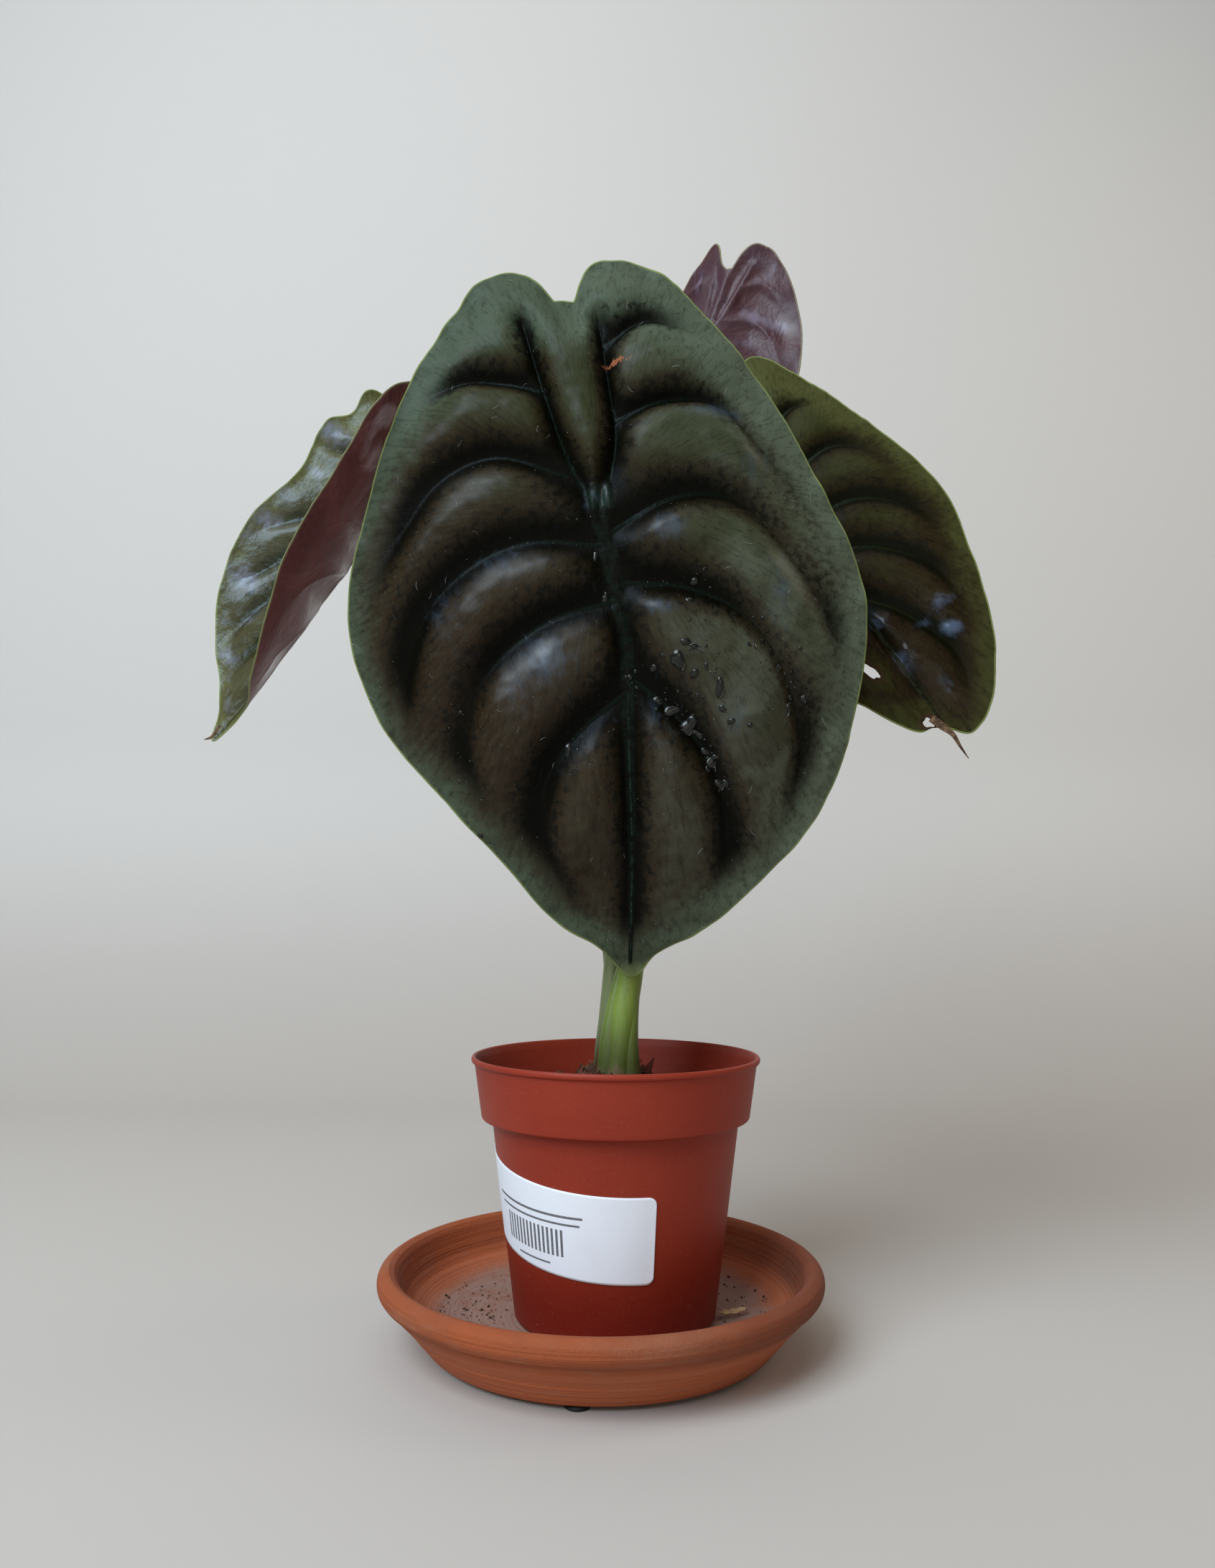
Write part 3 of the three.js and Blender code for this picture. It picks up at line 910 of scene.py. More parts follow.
@dataclass(frozen=True)
class PotPlastic(Finish):
    """Thin moulded plastic with scuffs, a little dust and painted shade towards its foot."""

    body: Colour = (0.27, 0.03, 0.013)
    # low darkens both the random cloudy tone and the painted shade at the foot.
    low: Colour = (0.13, 0.005, 0.002)
    scuff: Colour = (0.42, 0.16, 0.11)
    dust: Colour = (0.6, 0.45, 0.38)

    def paint(self, board: FinishBoard) -> Material:
        """Builds the material.

        Args:
            board: An empty board.

        Returns:
            The material.
        """
        place = board.own_place(axis_in_frame(Pot.middle))
        _, _, z = board.apart(place)
        clouds = board.grain(place, 28, 4)
        # Painted shade: darker towards the foot, where the saucer shades the pot.
        foot = 1 - board.between(z + (clouds - 0.5) * 0.012, 0.014, 0.05)
        colour = board.over(foot * 0.8, self.body, self.low)
        colour = board.over(board.between(clouds, 0.4, 0.65) * 0.14, colour, self.low)
        long_marks = board.grain(board.stretched(place, (300, 300, 2600), (0.25, 0.1, 0)), 1, 2)
        marks = board.between(long_marks, 0.66, 0.74) * board.between(board.grain(place, 60, 2), 0.5, 0.62)
        nicks = board.between(board.grain(board.stretched(place, (900, 900, 420)), 1, 2), 0.7, 0.77)
        colour = board.over(marks * 0.3 + nicks * 0.16, colour, self.scuff)
        dust = board.between(board.grain(place, 1300, 2), 0.64, 0.74)
        colour = board.over(dust * 0.06, colour, self.dust)
        skin = board.grain(place, 2200, 2)
        flow = board.grain(board.stretched(place, (30, 30, 260)), 1, 3)
        normal = board.bumped(skin, 0.00003)
        normal = board.bumped(flow, 0.00012, normal)
        return board.surface({
            "Base Color": colour, "Roughness": 0.4 + clouds * 0.16 + marks * 0.2, "Normal": normal,
            "Specular IOR Level": 0.22, "Subsurface Weight": 0.06, "Subsurface Radius": (0.6, 0.15, 0.1),
            "Subsurface Scale": 0.002,
        })


@dataclass(frozen=True)
class LabelPaper(Finish):
    """Coated paper with a block of plain lines and even stripes on its left half.

    A printed area is its lower and upper edge and its right and left end, in metres.
    """

    paper: Colour = (0.8, 0.82, 0.88)
    fibre: Colour = (0.62, 0.64, 0.7)
    smudge: Colour = (0.66, 0.63, 0.62)
    ink: Colour = (0.035, 0.033, 0.036)
    ink_edge: float = 0.00006
    stripe: float = 0.0018
    stripes: tuple[float, ...] = (-0.0075, 0.0012, 0.0306, 0.0568)
    lines: tuple[tuple[float, ...], ...] = (
        (0.0052, 0.006, 0.0235, 0.0625), (0.0028, 0.0035, 0.0245, 0.0605), (-0.0106, -0.01, 0.036, 0.051))

    def paint(self, board: FinishBoard) -> Material:
        """Builds the material.

        The flat reading is in metres from the label's right edge and middle.

        Args:
            board: An empty board.

        Returns:
            The material.
        """
        flat = board.reading_vector("flat")
        across, up, _ = board.apart(flat)
        fibres = board.grain(flat, 900, 4)
        colour = board.over(board.between(fibres, 0.35, 0.7) * 0.06, self.paper, self.fibre)
        smudge = board.between(board.grain(flat, 70, 3), 0.5, 0.75)
        colour = board.over(smudge * 0.12, colour, self.smudge)

        def band(value: Wire, low: float, high: float) -> Wire:
            """1 between two places and 0 outside them, with an ink-soft edge.

            Args:
                value: What is read.
                low: The first place.
                high: The second place.

            Returns:
                The share of ink.
            """
            edge = self.ink_edge
            return board.between(value, low - edge, low + edge) * (
                1 - board.between(value, high - edge, high + edge))

        lower = up + (across - 0.03) * 0.06
        areas = [band(lower, low, high) * band(across, right, left)
                 for low, high, right, left in (self.stripes, *self.lines)]
        printed = band((across / self.stripe).part(), 0.0, 0.5) * areas[0] + areas[1] + areas[2] + areas[3]
        patchy = 0.8 + 0.2 * board.between(board.grain(flat, 2600, 2), 0.35, 0.5)
        colour = board.over(printed * patchy * 0.9, colour, self.ink)
        normal = board.bumped(fibres, 0.00002)
        return board.surface({"Base Color": colour, "Roughness": 0.55 + fibres * 0.1, "Normal": normal,
                              "Specular IOR Level": 0.35})


@dataclass(frozen=True)
class Speckled(Finish):
    """A dull natural finish of two colours with grain, for rubber, soil, husk and the like."""

    light: Colour = (0.1, 0.1, 0.1)
    dark: Colour = (0.05, 0.05, 0.05)
    count: float = 300
    depth: float = 0.0003
    roughness: float = 0.85
    drawn: Point = (1, 1, 1)
    tone: str = ""

    def paint(self, board: FinishBoard) -> Material:
        """Builds the material.

        Args:
            board: An empty board.

        Returns:
            The material.
        """
        place = board.stretched(board.own_place(axis_in_frame()), self.drawn)
        coarse = board.grain(place, self.count * 0.3, 4)
        fine = board.grain(place, self.count, 5, 0.65)
        share = board.between(coarse * 0.5 + fine * 0.5, 0.4, 0.6)
        if self.tone:
            share = (share * 0.5 + board.reading(self.tone) * 0.7).least(1)
        colour = board.over(share, self.dark, self.light)
        normal = board.bumped(fine, self.depth)
        return board.surface({"Base Color": colour, "Roughness": self.roughness - coarse * 0.12,
                              "Normal": normal, "Specular IOR Level": 0.12})


@dataclass(frozen=True)
class StemSkin(Finish):
    """A leaf stalk with fine long streaks, painted shade low down and dry at its foot."""

    green: Colour = (0.17, 0.27, 0.05)
    shade: Colour = (0.09, 0.15, 0.03)
    head: Colour = (0.11, 0.15, 0.04)
    # deep is painted shade low on the stalk.
    deep: Colour = (0.03, 0.034, 0.005)
    dry: Colour = (0.14, 0.075, 0.04)

    def paint(self, board: FinishBoard) -> Material:
        """Builds the material.

        Args:
            board: An empty board.

        Returns:
            The material.
        """
        place = board.own_place(axis_in_frame())
        _, _, z = board.apart(place)
        long_place = board.stretched(place, (1, 1, 0.05))
        streaks = board.grain(long_place, 1500, 4, 0.6)
        broad = board.grain(board.stretched(place, (1, 1, 0.12)), 260, 3)
        spots = board.between(board.grain(board.stretched(place, (1, 1, 0.5)), 900, 3), 0.62, 0.72)
        colour = board.over(board.between(broad, 0.38, 0.62) * 0.6, self.green, self.shade)
        colour = board.over(board.between(streaks, 0.5, 0.7) * 0.3, colour, self.shade)
        colour = board.over(board.between(board.reading("along"), 0.3, 1.0), colour, self.head)
        colour = board.over(spots * 0.25, colour, self.dry)
        # Painted shade: the stalk darkens low down, where the pot shades it.
        low = z + (broad - 0.5) * 0.02 + (streaks - 0.5) * 0.01
        colour = board.over((1 - board.between(low, 0.094, 0.118)) * 0.8, colour, self.deep)
        foot = 1 - board.between(low, 0.09, 0.096)
        colour = board.over(foot * 0.8, colour, self.dry)
        normal = board.bumped(streaks, 0.00012)
        return board.surface({
            "Base Color": colour, "Roughness": 0.34 + streaks * 0.12 + foot * 0.3, "Normal": normal,
            "Subsurface Weight": 0.12, "Subsurface Radius": (0.5, 0.8, 0.2), "Subsurface Scale": 0.002,
        })


@dataclass(frozen=True)
class LeafTop(Finish):
    """The quilted upper side: a soft margin, metallic cushions, dark sunk veins, painted shade and painted
    sheen.

    The mesh gives the distances from the margin, the veins and the ribs in millimetres, and how
    hollow the blade is.
    """

    margin: Colour = (0.052, 0.071, 0.043)
    far_margin: Colour = (0.058, 0.076, 0.048)
    cushion: Colour = (0.027, 0.03, 0.009)
    bronze: Colour = (0.026, 0.0153, 0.0066)
    # pale is the painted sheen laid over the right half.
    pale: Colour = (0.105, 0.125, 0.085)
    fleck: Colour = (0.06, 0.072, 0.045)
    valley: Colour = (0.0022, 0.002, 0.001)
    rib: Colour = (0.003, 0.0068, 0.0038)
    rim: Colour = (0.2, 0.24, 0.075)
    joint: Colour = (0.022, 0.045, 0.034)
    scar: Colour = (0.3, 0.1, 0.045)
    torn: Colour = (0.05, 0.026, 0.014)
    scar_at: FlatPoint = (-0.0456, 0.0078)
    scar_half: FlatPoint = (0.0008, 0.003)
    margin_width: float = 19.0
    margin_lean: float = 30.0
    warm_lean: float = 0.6
    warm_start: float = -0.045
    warm_end: float = 0.075
    hollow_start: float = 0.22
    gloss: float = 0.52
    coat: float = 0.5
    coat_at_base: float = 0.7
    coat_rough: float = 0.33
    specular: float = 0.05
    glint: Colour = (0.8, 0.92, 1.0)
    dents: float = 0.0003
    # Colour and share of the painted sheen patches.
    bloom_and_painted_sheen: Colour = (0.05, 0.076, 0.11)
    painted_sheen_share: float = 0.55

    def paint(self, board: FinishBoard) -> Material:
        """Builds the material.

        Args:
            board: An empty board.

        Returns:
            The material.
        """
        flat = board.reading_vector("flat")
        along, right, _ = board.apart(flat)
        vein, rib = board.reading("vein"), board.reading("rib")
        edge, hollow = board.reading("edge"), board.reading("hollow")
        cloud = board.grain(flat, 50, 4, 0.55, 0.5)
        mottle = board.grain(flat, 380, 6, 0.65, 0.3)
        fuzz = board.grain(board.stretched(flat, (0.5, 1, 1), (0, 0, 0.45)), 1300, 4, 0.6)
        radius = (along * along + right * right) ** 0.5
        bearing = board.node("ShaderNodeMath", {"operation": "ARCTAN2"}, {0: right, 1: along}).outputs[0]
        rays = board.grain(board.together(Wire(board, bearing) * 0.05, radius * 0.12, 0), 1100, 4, 0.6, 0.4)
        shift = (along + 0.015).least(0) * 330 - right * self.margin_lean
        inner = board.between(edge + shift + (cloud - 0.5) * 18 + (mottle - 0.5) * 14, 0, self.margin_width)
        heat = along - right * self.warm_lean + (cloud - 0.5) * 0.14 + (mottle - 0.5) * 0.05
        warm = board.between(heat, self.warm_start, self.warm_end)
        border = board.over(warm, self.margin, self.far_margin)
        colour = board.over(inner, border, board.over(warm, self.cushion, self.bronze))
        # Painted sheen: a paler grey-green laid over the right half, broken by cloudy patches.
        painted_sheen_side = board.between(right + (cloud - 0.5) * 0.03, -0.075, 0.085)
        patchy = 1 - inner * (0.62 - board.between(cloud, 0.42, 0.6) * 0.5)
        colour = board.over(painted_sheen_side * painted_sheen_side * patchy * 0.8, colour, self.pale)
        toned = board.between(hollow + (mottle - 0.5) * 0.4 + (cloud - 0.5) * 0.3, 0.02, 0.42)
        colour = board.over(toned * inner * 0.75, colour, self.bronze)
        flecks = board.between(fuzz * 0.4 + rays * 0.3 + mottle * 0.3, 0.49, 0.62)
        colour = board.over(flecks * (0.5 - inner * 0.22), colour, self.fleck)
        colour = board.over(board.between(rays, 0.5, 0.36) * 0.3, colour, self.valley)
        dark = board.between(fuzz * 0.3 + mottle * 0.7, 0.52, 0.66)
        colour = board.over(dark * 0.45, colour, self.valley)
        # The hollows go near-black: partly the leaf's own dark colour, partly painted shade.
        hollow_dark_and_shade = board.between(hollow + (mottle - 0.5) * 0.35, self.hollow_start, 0.85)
        hollow_dark_and_shade = hollow_dark_and_shade * board.between(edge, 5, 16)
        colour = board.over(hollow_dark_and_shade * 0.97, colour, self.valley)
        blot = board.between(mottle + (cloud - 0.5) * 0.3, 0.53, 0.56) * board.between(hollow, 0.18, 0.45)
        colour = board.over(blot * board.between(edge, 8, 20) * 0.6, colour, self.valley)
        # Painted sheen: bluish pale patches laid where the sheen reading is high.
        sheen = board.reading("sheen")
        crinkle = board.grain(board.stretched(flat, (0.55, 1, 1), (0, 0, 0.5)), 330, 3, 0.6, 0.6)
        gleam = board.between(sheen + (crinkle - 0.5) * 2.0 + (cloud - 0.5), 0.75, 2.1)
        colour = board.over(gleam * self.painted_sheen_share, colour, self.bloom_and_painted_sheen)
        line = (1 - board.between(vein, 0.35, 0.8)) * board.between(edge, 6, 18)
        colour = board.over(line * 0.9, colour, self.rib)
        spine = 1 - board.between(rib + (fuzz - 0.5) * 0.5 + (mottle - 0.5) * 1.3, 0.6, 1.2)
        stripe = board.over(board.between(mottle + (fuzz - 0.5) * 0.4, 0.42, 0.6), self.rib, self.valley)
        colour = board.over(spine, colour, stripe)
        crease = (1 - board.between(rib, 0.05, 0.28)) * board.between(along, 0.05, 0.11)
        broken = board.between(mottle + (fuzz - 0.5) * 0.3, 0.6, 0.44)
        colour = board.over(crease * broken * 0.8, colour, self.joint)
        knot = 1 - board.between(radius + (fuzz - 0.5) * 0.006, 0.001, 0.006)
        colour = board.over(knot * 0.5, colour, self.joint)
        tall = (along - self.scar_at[0]) / self.scar_half[0]
        wide = (right - self.scar_at[1]) / self.scar_half[1]
        ragged = (mottle - 0.5) * 6 + (fuzz - 0.5) * 5
        hurt = 1 - board.between((tall * tall + wide * wide) ** 0.5 + ragged, 0.6, 1.3)
        colour = board.over(hurt * 0.85, colour, self.scar)
        wound = 1 - board.between(board.reading("torn") + (mottle - 0.5) * 3, 0.8, 2.6)
        colour = board.over(wound * 0.85, colour, self.torn)
        lip = (1 - board.between(edge, 0.3, 0.75) + board.between(along, 0.158, 0.166) * 0.6).least(1)
        colour = board.over(lip * (1 - wound) * 0.85, colour, self.rim)
        normal = board.bumped(cloud, self.dents)
        normal = board.bumped(mottle, 0.0002, normal)
        normal = board.bumped(fuzz * 0.5 + rays * 0.5, 0.00016, normal)
        rough = self.gloss + (mottle - 0.5) * 0.3 + (fuzz - 0.5) * 0.2
        rough = rough - hollow_dark_and_shade * 0.22 - (spine + line).least(1) * 0.12
        film = (self.coat_at_base + (1 - self.coat_at_base) * warm) * (1 - hollow_dark_and_shade) * (1 - lip)
        film = film * (0.75 + (mottle - 0.5) * 1.4) * (0.45 + inner * 0.55) * sheen
        return board.surface({
            "Base Color": colour, "Roughness": rough.most(0.18), "Specular IOR Level": self.specular,
            "Specular Tint": self.glint, "Coat Weight": ((film + knot + spine * 0.1) * self.coat).least(1),
            "Coat Roughness": self.coat_rough, "Normal": normal,
        })


@dataclass(frozen=True)
class LeafUnder(Finish):
    """The smooth underside with raised ribs and streaks of painted sheen."""

    body: Colour = (0.085, 0.024, 0.021)
    dusk: Colour = (0.065, 0.018, 0.019)
    rib: Colour = (0.13, 0.07, 0.065)
    rim: Colour = (0.24, 0.2, 0.12)
    gloss: float = 0.45
    coat: float = 0.5
    coat_rough: float = 0.3
    rib_share: float = 0.6
    bloom_and_painted_sheen: Colour = (0.2, 0.14, 0.15)
    painted_sheen_share: float = 0.0

    def paint(self, board: FinishBoard) -> Material:
        """Builds the material.

        Args:
            board: An empty board.

        Returns:
            The material.
        """
        flat = board.reading_vector("flat")
        vein, rib, edge = board.reading("vein"), board.reading("rib"), board.reading("edge")
        cloud = board.grain(flat, 60, 4, 0.55, 0.5)
        mottle = board.grain(flat, 520, 5, 0.6)
        colour = board.over(board.between(cloud, 0.35, 0.65) * 0.7, self.body, self.dusk)
        colour = board.over(board.between(mottle, 0.45, 0.7) * 0.16, colour, self.rib)
        # Painted sheen: a pale lilac colour laid in streaks where the sheen reading is high.
        sheen = board.reading("sheen")
        folds = board.grain(board.stretched(flat, (0.35, 1, 1), (0, 0, 0.6)), 150, 3, 0.5, 0.5)
        gleam = board.between(sheen + (folds - 0.5) * 3.0, 0.8, 1.6)
        colour = board.over(gleam * self.painted_sheen_share, colour, self.bloom_and_painted_sheen)
        line = 1 - board.between(vein, 0.25, 1.1)
        colour = board.over(line * 0.25, colour, self.rib)
        spine = 1 - board.between(rib, 0.35, 1.25)
        colour = board.over(spine * self.rib_share, colour, self.rib)
        lip = 1 - board.between(edge, 0.3, 0.8)
        colour = board.over(lip * 0.8, colour, self.rim)
        normal = board.bumped(cloud, 0.0026)
        normal = board.bumped(mottle, 0.00008, normal)
        return board.surface({
            "Base Color": colour, "Roughness": self.gloss + (mottle - 0.5) * 0.25 + (cloud - 0.5) * 0.2,
            "Coat Weight": (self.coat * (1 - lip) * sheen).least(1), "Coat Roughness": self.coat_rough,
            "Specular IOR Level": 0.2, "Normal": normal,
        })


@dataclass(frozen=True)
class Water(Finish):
    """Clear water over a dark ground."""

    ground: Colour = (0.012, 0.014, 0.011)
    clearness: float = 0.25
    gloss: float = 0.03

    def paint(self, board: FinishBoard) -> Material:
        """Builds the material.

        Args:
            board: An empty board.

        Returns:
            The material.
        """
        swell = board.grain(board.own_place(), 700, 2)
        return board.surface({
            "Base Color": self.ground, "Roughness": self.gloss, "IOR": 1.4,
            "Transmission Weight": self.clearness, "Specular IOR Level": 0.5,
            "Normal": board.bumped(swell, 0.00005),
        })


# The holder

@dataclass
class Saucer:
    """The clay saucer on its three rubber pads, with what has fallen into it."""

    sides: int = 256
    outline: Sequence[FlatPoint] = (
        (0, 2.6), (50, 2.6), (51.5, 1.6), (60, 1.6), (61.4, 2.5), (63.6, 5.2), (67.2, 9.2), (67.1, 10),
        (68.6, 11), (71.6, 14.2), (74.4, 17), (74.5, 18), (76.4, 18.6), (77.9, 20.6), (78.3, 23),
        (77.6, 25.3), (75.9, 26.7), (74.4, 27), (72.8, 26.4), (71.4, 25), (70.2, 21.5), (68.6, 17.6),
        (65.8, 14), (61.8, 11.3), (56, 9.3), (48, 8.2), (40, 8), (0, 8),
    )
    pad_profile: Sequence[FlatPoint] = ((0, 0), (3.9, 0), (4.2, 0.3), (3.9, 1.1), (3.5, 1.3), (0, 1.3))
    pad_ring: float = 56
    pad_turn: float = -7
    chip_half: Point = (5.4, 2.1, 0.45)
    chip_at: Point = (46.0, -4, 10.3)
    clay: Finish = FiredClay("fired_clay")
    rubber: Finish = Speckled("pad_rubber", light=(0.035, 0.032, 0.03), dark=(0.012, 0.011, 0.011),
                              count=900, depth=0.00005, roughness=0.75)
    grit: Finish = Speckled("fallen_grit", light=(0.1, 0.062, 0.04), dark=(0.02, 0.013, 0.009),
                            count=2000, depth=0.0001, tone="tone")
    chip_wood: Finish = Speckled("bark_chip", light=(0.5, 0.34, 0.18), dark=(0.3, 0.18, 0.09),
                                 count=900, depth=0.0002, drawn=(0.2, 1, 1))

    def build(self) -> None:
        """Builds and dresses every piece of the saucer."""
        self.build_dish()
        self.build_pads()
        self.build_grit()
        self.build_chip()

    def build_dish(self) -> None:
        """Turns the dish, a little out of true as thrown clay is."""
        profile = eased(self.outline, 1.6, 6)
        dense = evenly(np.asarray(profile), 0.55)
        points, faces = turned(dense, self.sides)
        angle = np.arctan2(points[:, 1], points[:, 0])
        wobble = 1 - 0.0012 * (1 + np.sin(3 * angle + 0.7)) * fade(np.hypot(*points[:, :2].T), 50, 70)
        points[:, :2] *= wobble[:, None]
        dish = new_object(new_mesh("clay_dish", points, faces), self.clay.material())
        hand_over(dish, "clay", "saucer")

    def build_pads(self) -> None:
        """Turns the three pads."""
        for i in range(3):
            turn = math.radians(self.pad_turn + 120 * i)
            centre = (self.pad_ring * math.sin(turn), -self.pad_ring * math.cos(turn))
            points, faces = turned(eased(self.pad_profile, 0.25, 4), 48, centre)
            pad = new_object(new_mesh(f"rubber_pad_{i + 1}", points, faces), self.rubber.material())
            hand_over(pad, "pad_rubber", f"saucer_pad_{i + 1}")

    def build_grit(self) -> None:
        """Strews soil crumbs over the dish's floor, thickest at the left."""
        radii = (36, 42, 48, 54, 60)
        heights = np.interp(radii, [40, 48, 56, 61.8], [8, 8.2, 9.3, 11.3])
        points, faces = turned([(0, 8), *zip(radii, heights), (0, 7)], 48)
        mesh = new_mesh("dish_floor", points, faces[:-48])
        x, y = points[:, 0], points[:, 1]
        patch = np.exp(-(((x + 46) / 17) ** 2 + ((y + 2) / 22) ** 2)) + 0.25 * np.exp(-(((x - 55) / 12) ** 2))
        hold(mesh, "thick", (patch + 0.12) * (np.hypot(x, y) > 34))
        bits = Strewn("dish_grit", density=0.15, smallest=0.16, largest=0.62, height=0.55, knock=0.25,
                      seed=7, thickness="thick", sink=0.1)
        hand_over(bits.grow(mesh, self.grit.material()), "potting_mix")

    def build_chip(self) -> None:
        """Lays a pale bark chip beside the pot."""
        rows, columns = 7, 15
        long, wide, thick = self.chip_half
        points = []
        for side in (thick, -thick):
            for i in range(rows):
                for j in range(columns):
                    u, v = j / (columns - 1) * 2 - 1, i / (rows - 1) * 2 - 1
                    width = wide * (1 - 0.5 * abs(u) ** 2.5) + 0.25 * math.sin(9 * u)
                    points.append((long * u, width * v, side * (1 - abs(u) ** 4) * (1 - v**4) + 0.5 * u * u))
        cloud = np.asarray(points)
        cloud[:, 2] += 0.2 * ripples(cloud[:, :2], 2.5, 3)
        turn = Matrix.Rotation(math.radians(4), 3, "Z") @ Matrix.Rotation(math.radians(-6), 3, "Y")
        placed = cloud @ np.array(turn).T * (0.9, 0.9, 1.0) + self.chip_at
        mesh = new_mesh("fallen_chip", placed, sheet_faces(rows, columns))
        hand_over(new_object(mesh, self.chip_wood.material()), "crown_husk")


@dataclass
class Strewn:
    """Small bits strewn over a surface by a node tree.

    Sizes are in millimetres. The larger the rarity is, the fewer of the bits are large.
    """

    name: str
    density: float
    smallest: float
    largest: float
    height: float
    knock: float
    seed: int
    thickness: str = ""
    sink: float = 0.0
    heap: Heap = Heap.TUMBLED
    facets: int = 2
    rarity: float = 2.2
    stretch: tuple[float, float] = (0.7, 1.5)
    dents: float = 0.7

    def grow(self, ground: Mesh, material: Material) -> Object:
        """Strews the bits.

        Args:
            ground: The surface, which may hold a reading of where bits lie thick.
            material: What the bits are made of.

        Returns:
            The bits as one piece.
        """
        board = GrowthBoard(self.name + "_tree")
        density = board.named("Bits per square mm", self.density)
        smallest = board.named("Smallest mm", self.smallest) * MM
        largest = board.named("Largest mm", self.largest) * MM
        height = board.named("Height share", self.height)
        knock = board.named("Knock mm", self.knock) * MM
        sink = board.named("Sink mm", self.sink) * MM
        seed = board.named("Seed", self.seed)
        points, toned = board.scatter(density, seed, self.thickness)
        lowered = board.node("ShaderNodeVectorMath", {"operation": "SCALE"},
                             {0: points.outputs["Normal"], "Scale": sink * -1})
        seated = board.node("GeometryNodeSetPosition", None,
                            {"Geometry": toned, "Offset": lowered.outputs["Vector"]})
        size = smallest + (largest - smallest) * board.random(0, 1, seed + 2) ** self.rarity
        stretch = board.random(*self.stretch, seed + 4)
        scale = board.node("ShaderNodeCombineXYZ", None, {0: size * stretch, 1: size, 2: size * height})
        ball = board.node("GeometryNodeMeshIcoSphere", None, {"Radius": 1.0, "Subdivisions": self.facets})
        bits = board.node("GeometryNodeInstanceOnPoints", None, {
            "Points": seated.outputs[0], "Instance": ball.outputs["Mesh"],
            "Rotation": board.leant(points, self.heap.value, seed), "Scale": scale.outputs[0]})
        real = board.node("GeometryNodeRealizeInstances", None, {"Geometry": bits.outputs[0]})
        where = board.node("GeometryNodeInputPosition")
        bent = board.node("ShaderNodeTexNoise", None, {
            "Vector": where.outputs[0], "Scale": self.dents / (self.largest * MM), "Detail": 2.0})
        pushed = board.node("ShaderNodeVectorMath", {"operation": "SUBTRACT"},
                            {0: bent.outputs["Color"], 1: (0.5, 0.5, 0.5)})
        offset = board.node("ShaderNodeVectorMath", {"operation": "SCALE"},
                            {0: pushed.outputs["Vector"], "Scale": knock * 2})
        knocked = board.node("GeometryNodeSetPosition", None,
                             {"Geometry": real.outputs[0], "Offset": offset.outputs["Vector"]})
        board.close(knocked.outputs[0], material)
        return board.grow(self.name, ground)


@dataclass
class Strands:
    """Short curved strands that stand or lie on a surface."""

    name: str
    density: float
    length: float
    thick: float
    seed: int
    lean: tuple[Point, Point] = ((-1.3, -1.3, 0), (1.3, 1.3, 6.28))
    thickness: str = ""
    arc: tuple[Point, Point, Point] = ((0, 0, 0), (0.05, 0.1, 0.5), (0.45, 0.1, 0.8))
    shortness: tuple[float, float] = (0.35, 1.0)

    def grow(self, ground: Mesh, material: Material) -> Object:
        """Grows the strands.

        Args:
            ground: The surface, which may hold a reading of where strands lie thick.
            material: What the strands are made of.

        Returns:
            The strands as one piece.
        """
        board = GrowthBoard(self.name + "_tree")
        density = board.named("Strands per square mm", self.density)
        length = board.named("Length mm", self.length) * MM
        thick = board.named("Thickness mm", self.thick) * MM
        seed = board.named("Seed", self.seed)
        points, toned = board.scatter(density, seed, self.thickness)
        start, middle, end = self.arc
        arc = board.node("GeometryNodeCurveQuadraticBezier", None, {
            "Resolution": 7, "Start": start, "Middle": middle, "End": end})
        ring = board.node("GeometryNodeCurvePrimitiveCircle", None,
                          {"Resolution": 3, "Radius": thick / length})
        strand = board.node("GeometryNodeCurveToMesh", None, {
            "Curve": arc.outputs[0], "Profile Curve": ring.outputs[0], "Fill Caps": True})
        size = length * board.random(*self.shortness, seed + 2)
        scale = board.node("ShaderNodeCombineXYZ", None, {0: size, 1: size, 2: size})
        strands = board.node("GeometryNodeInstanceOnPoints", None, {
            "Points": toned, "Instance": strand.outputs[0],
            "Rotation": board.leant(points, self.lean, seed), "Scale": scale.outputs[0]})
        board.close(strands.outputs[0], material)
        return board.grow(self.name, ground)


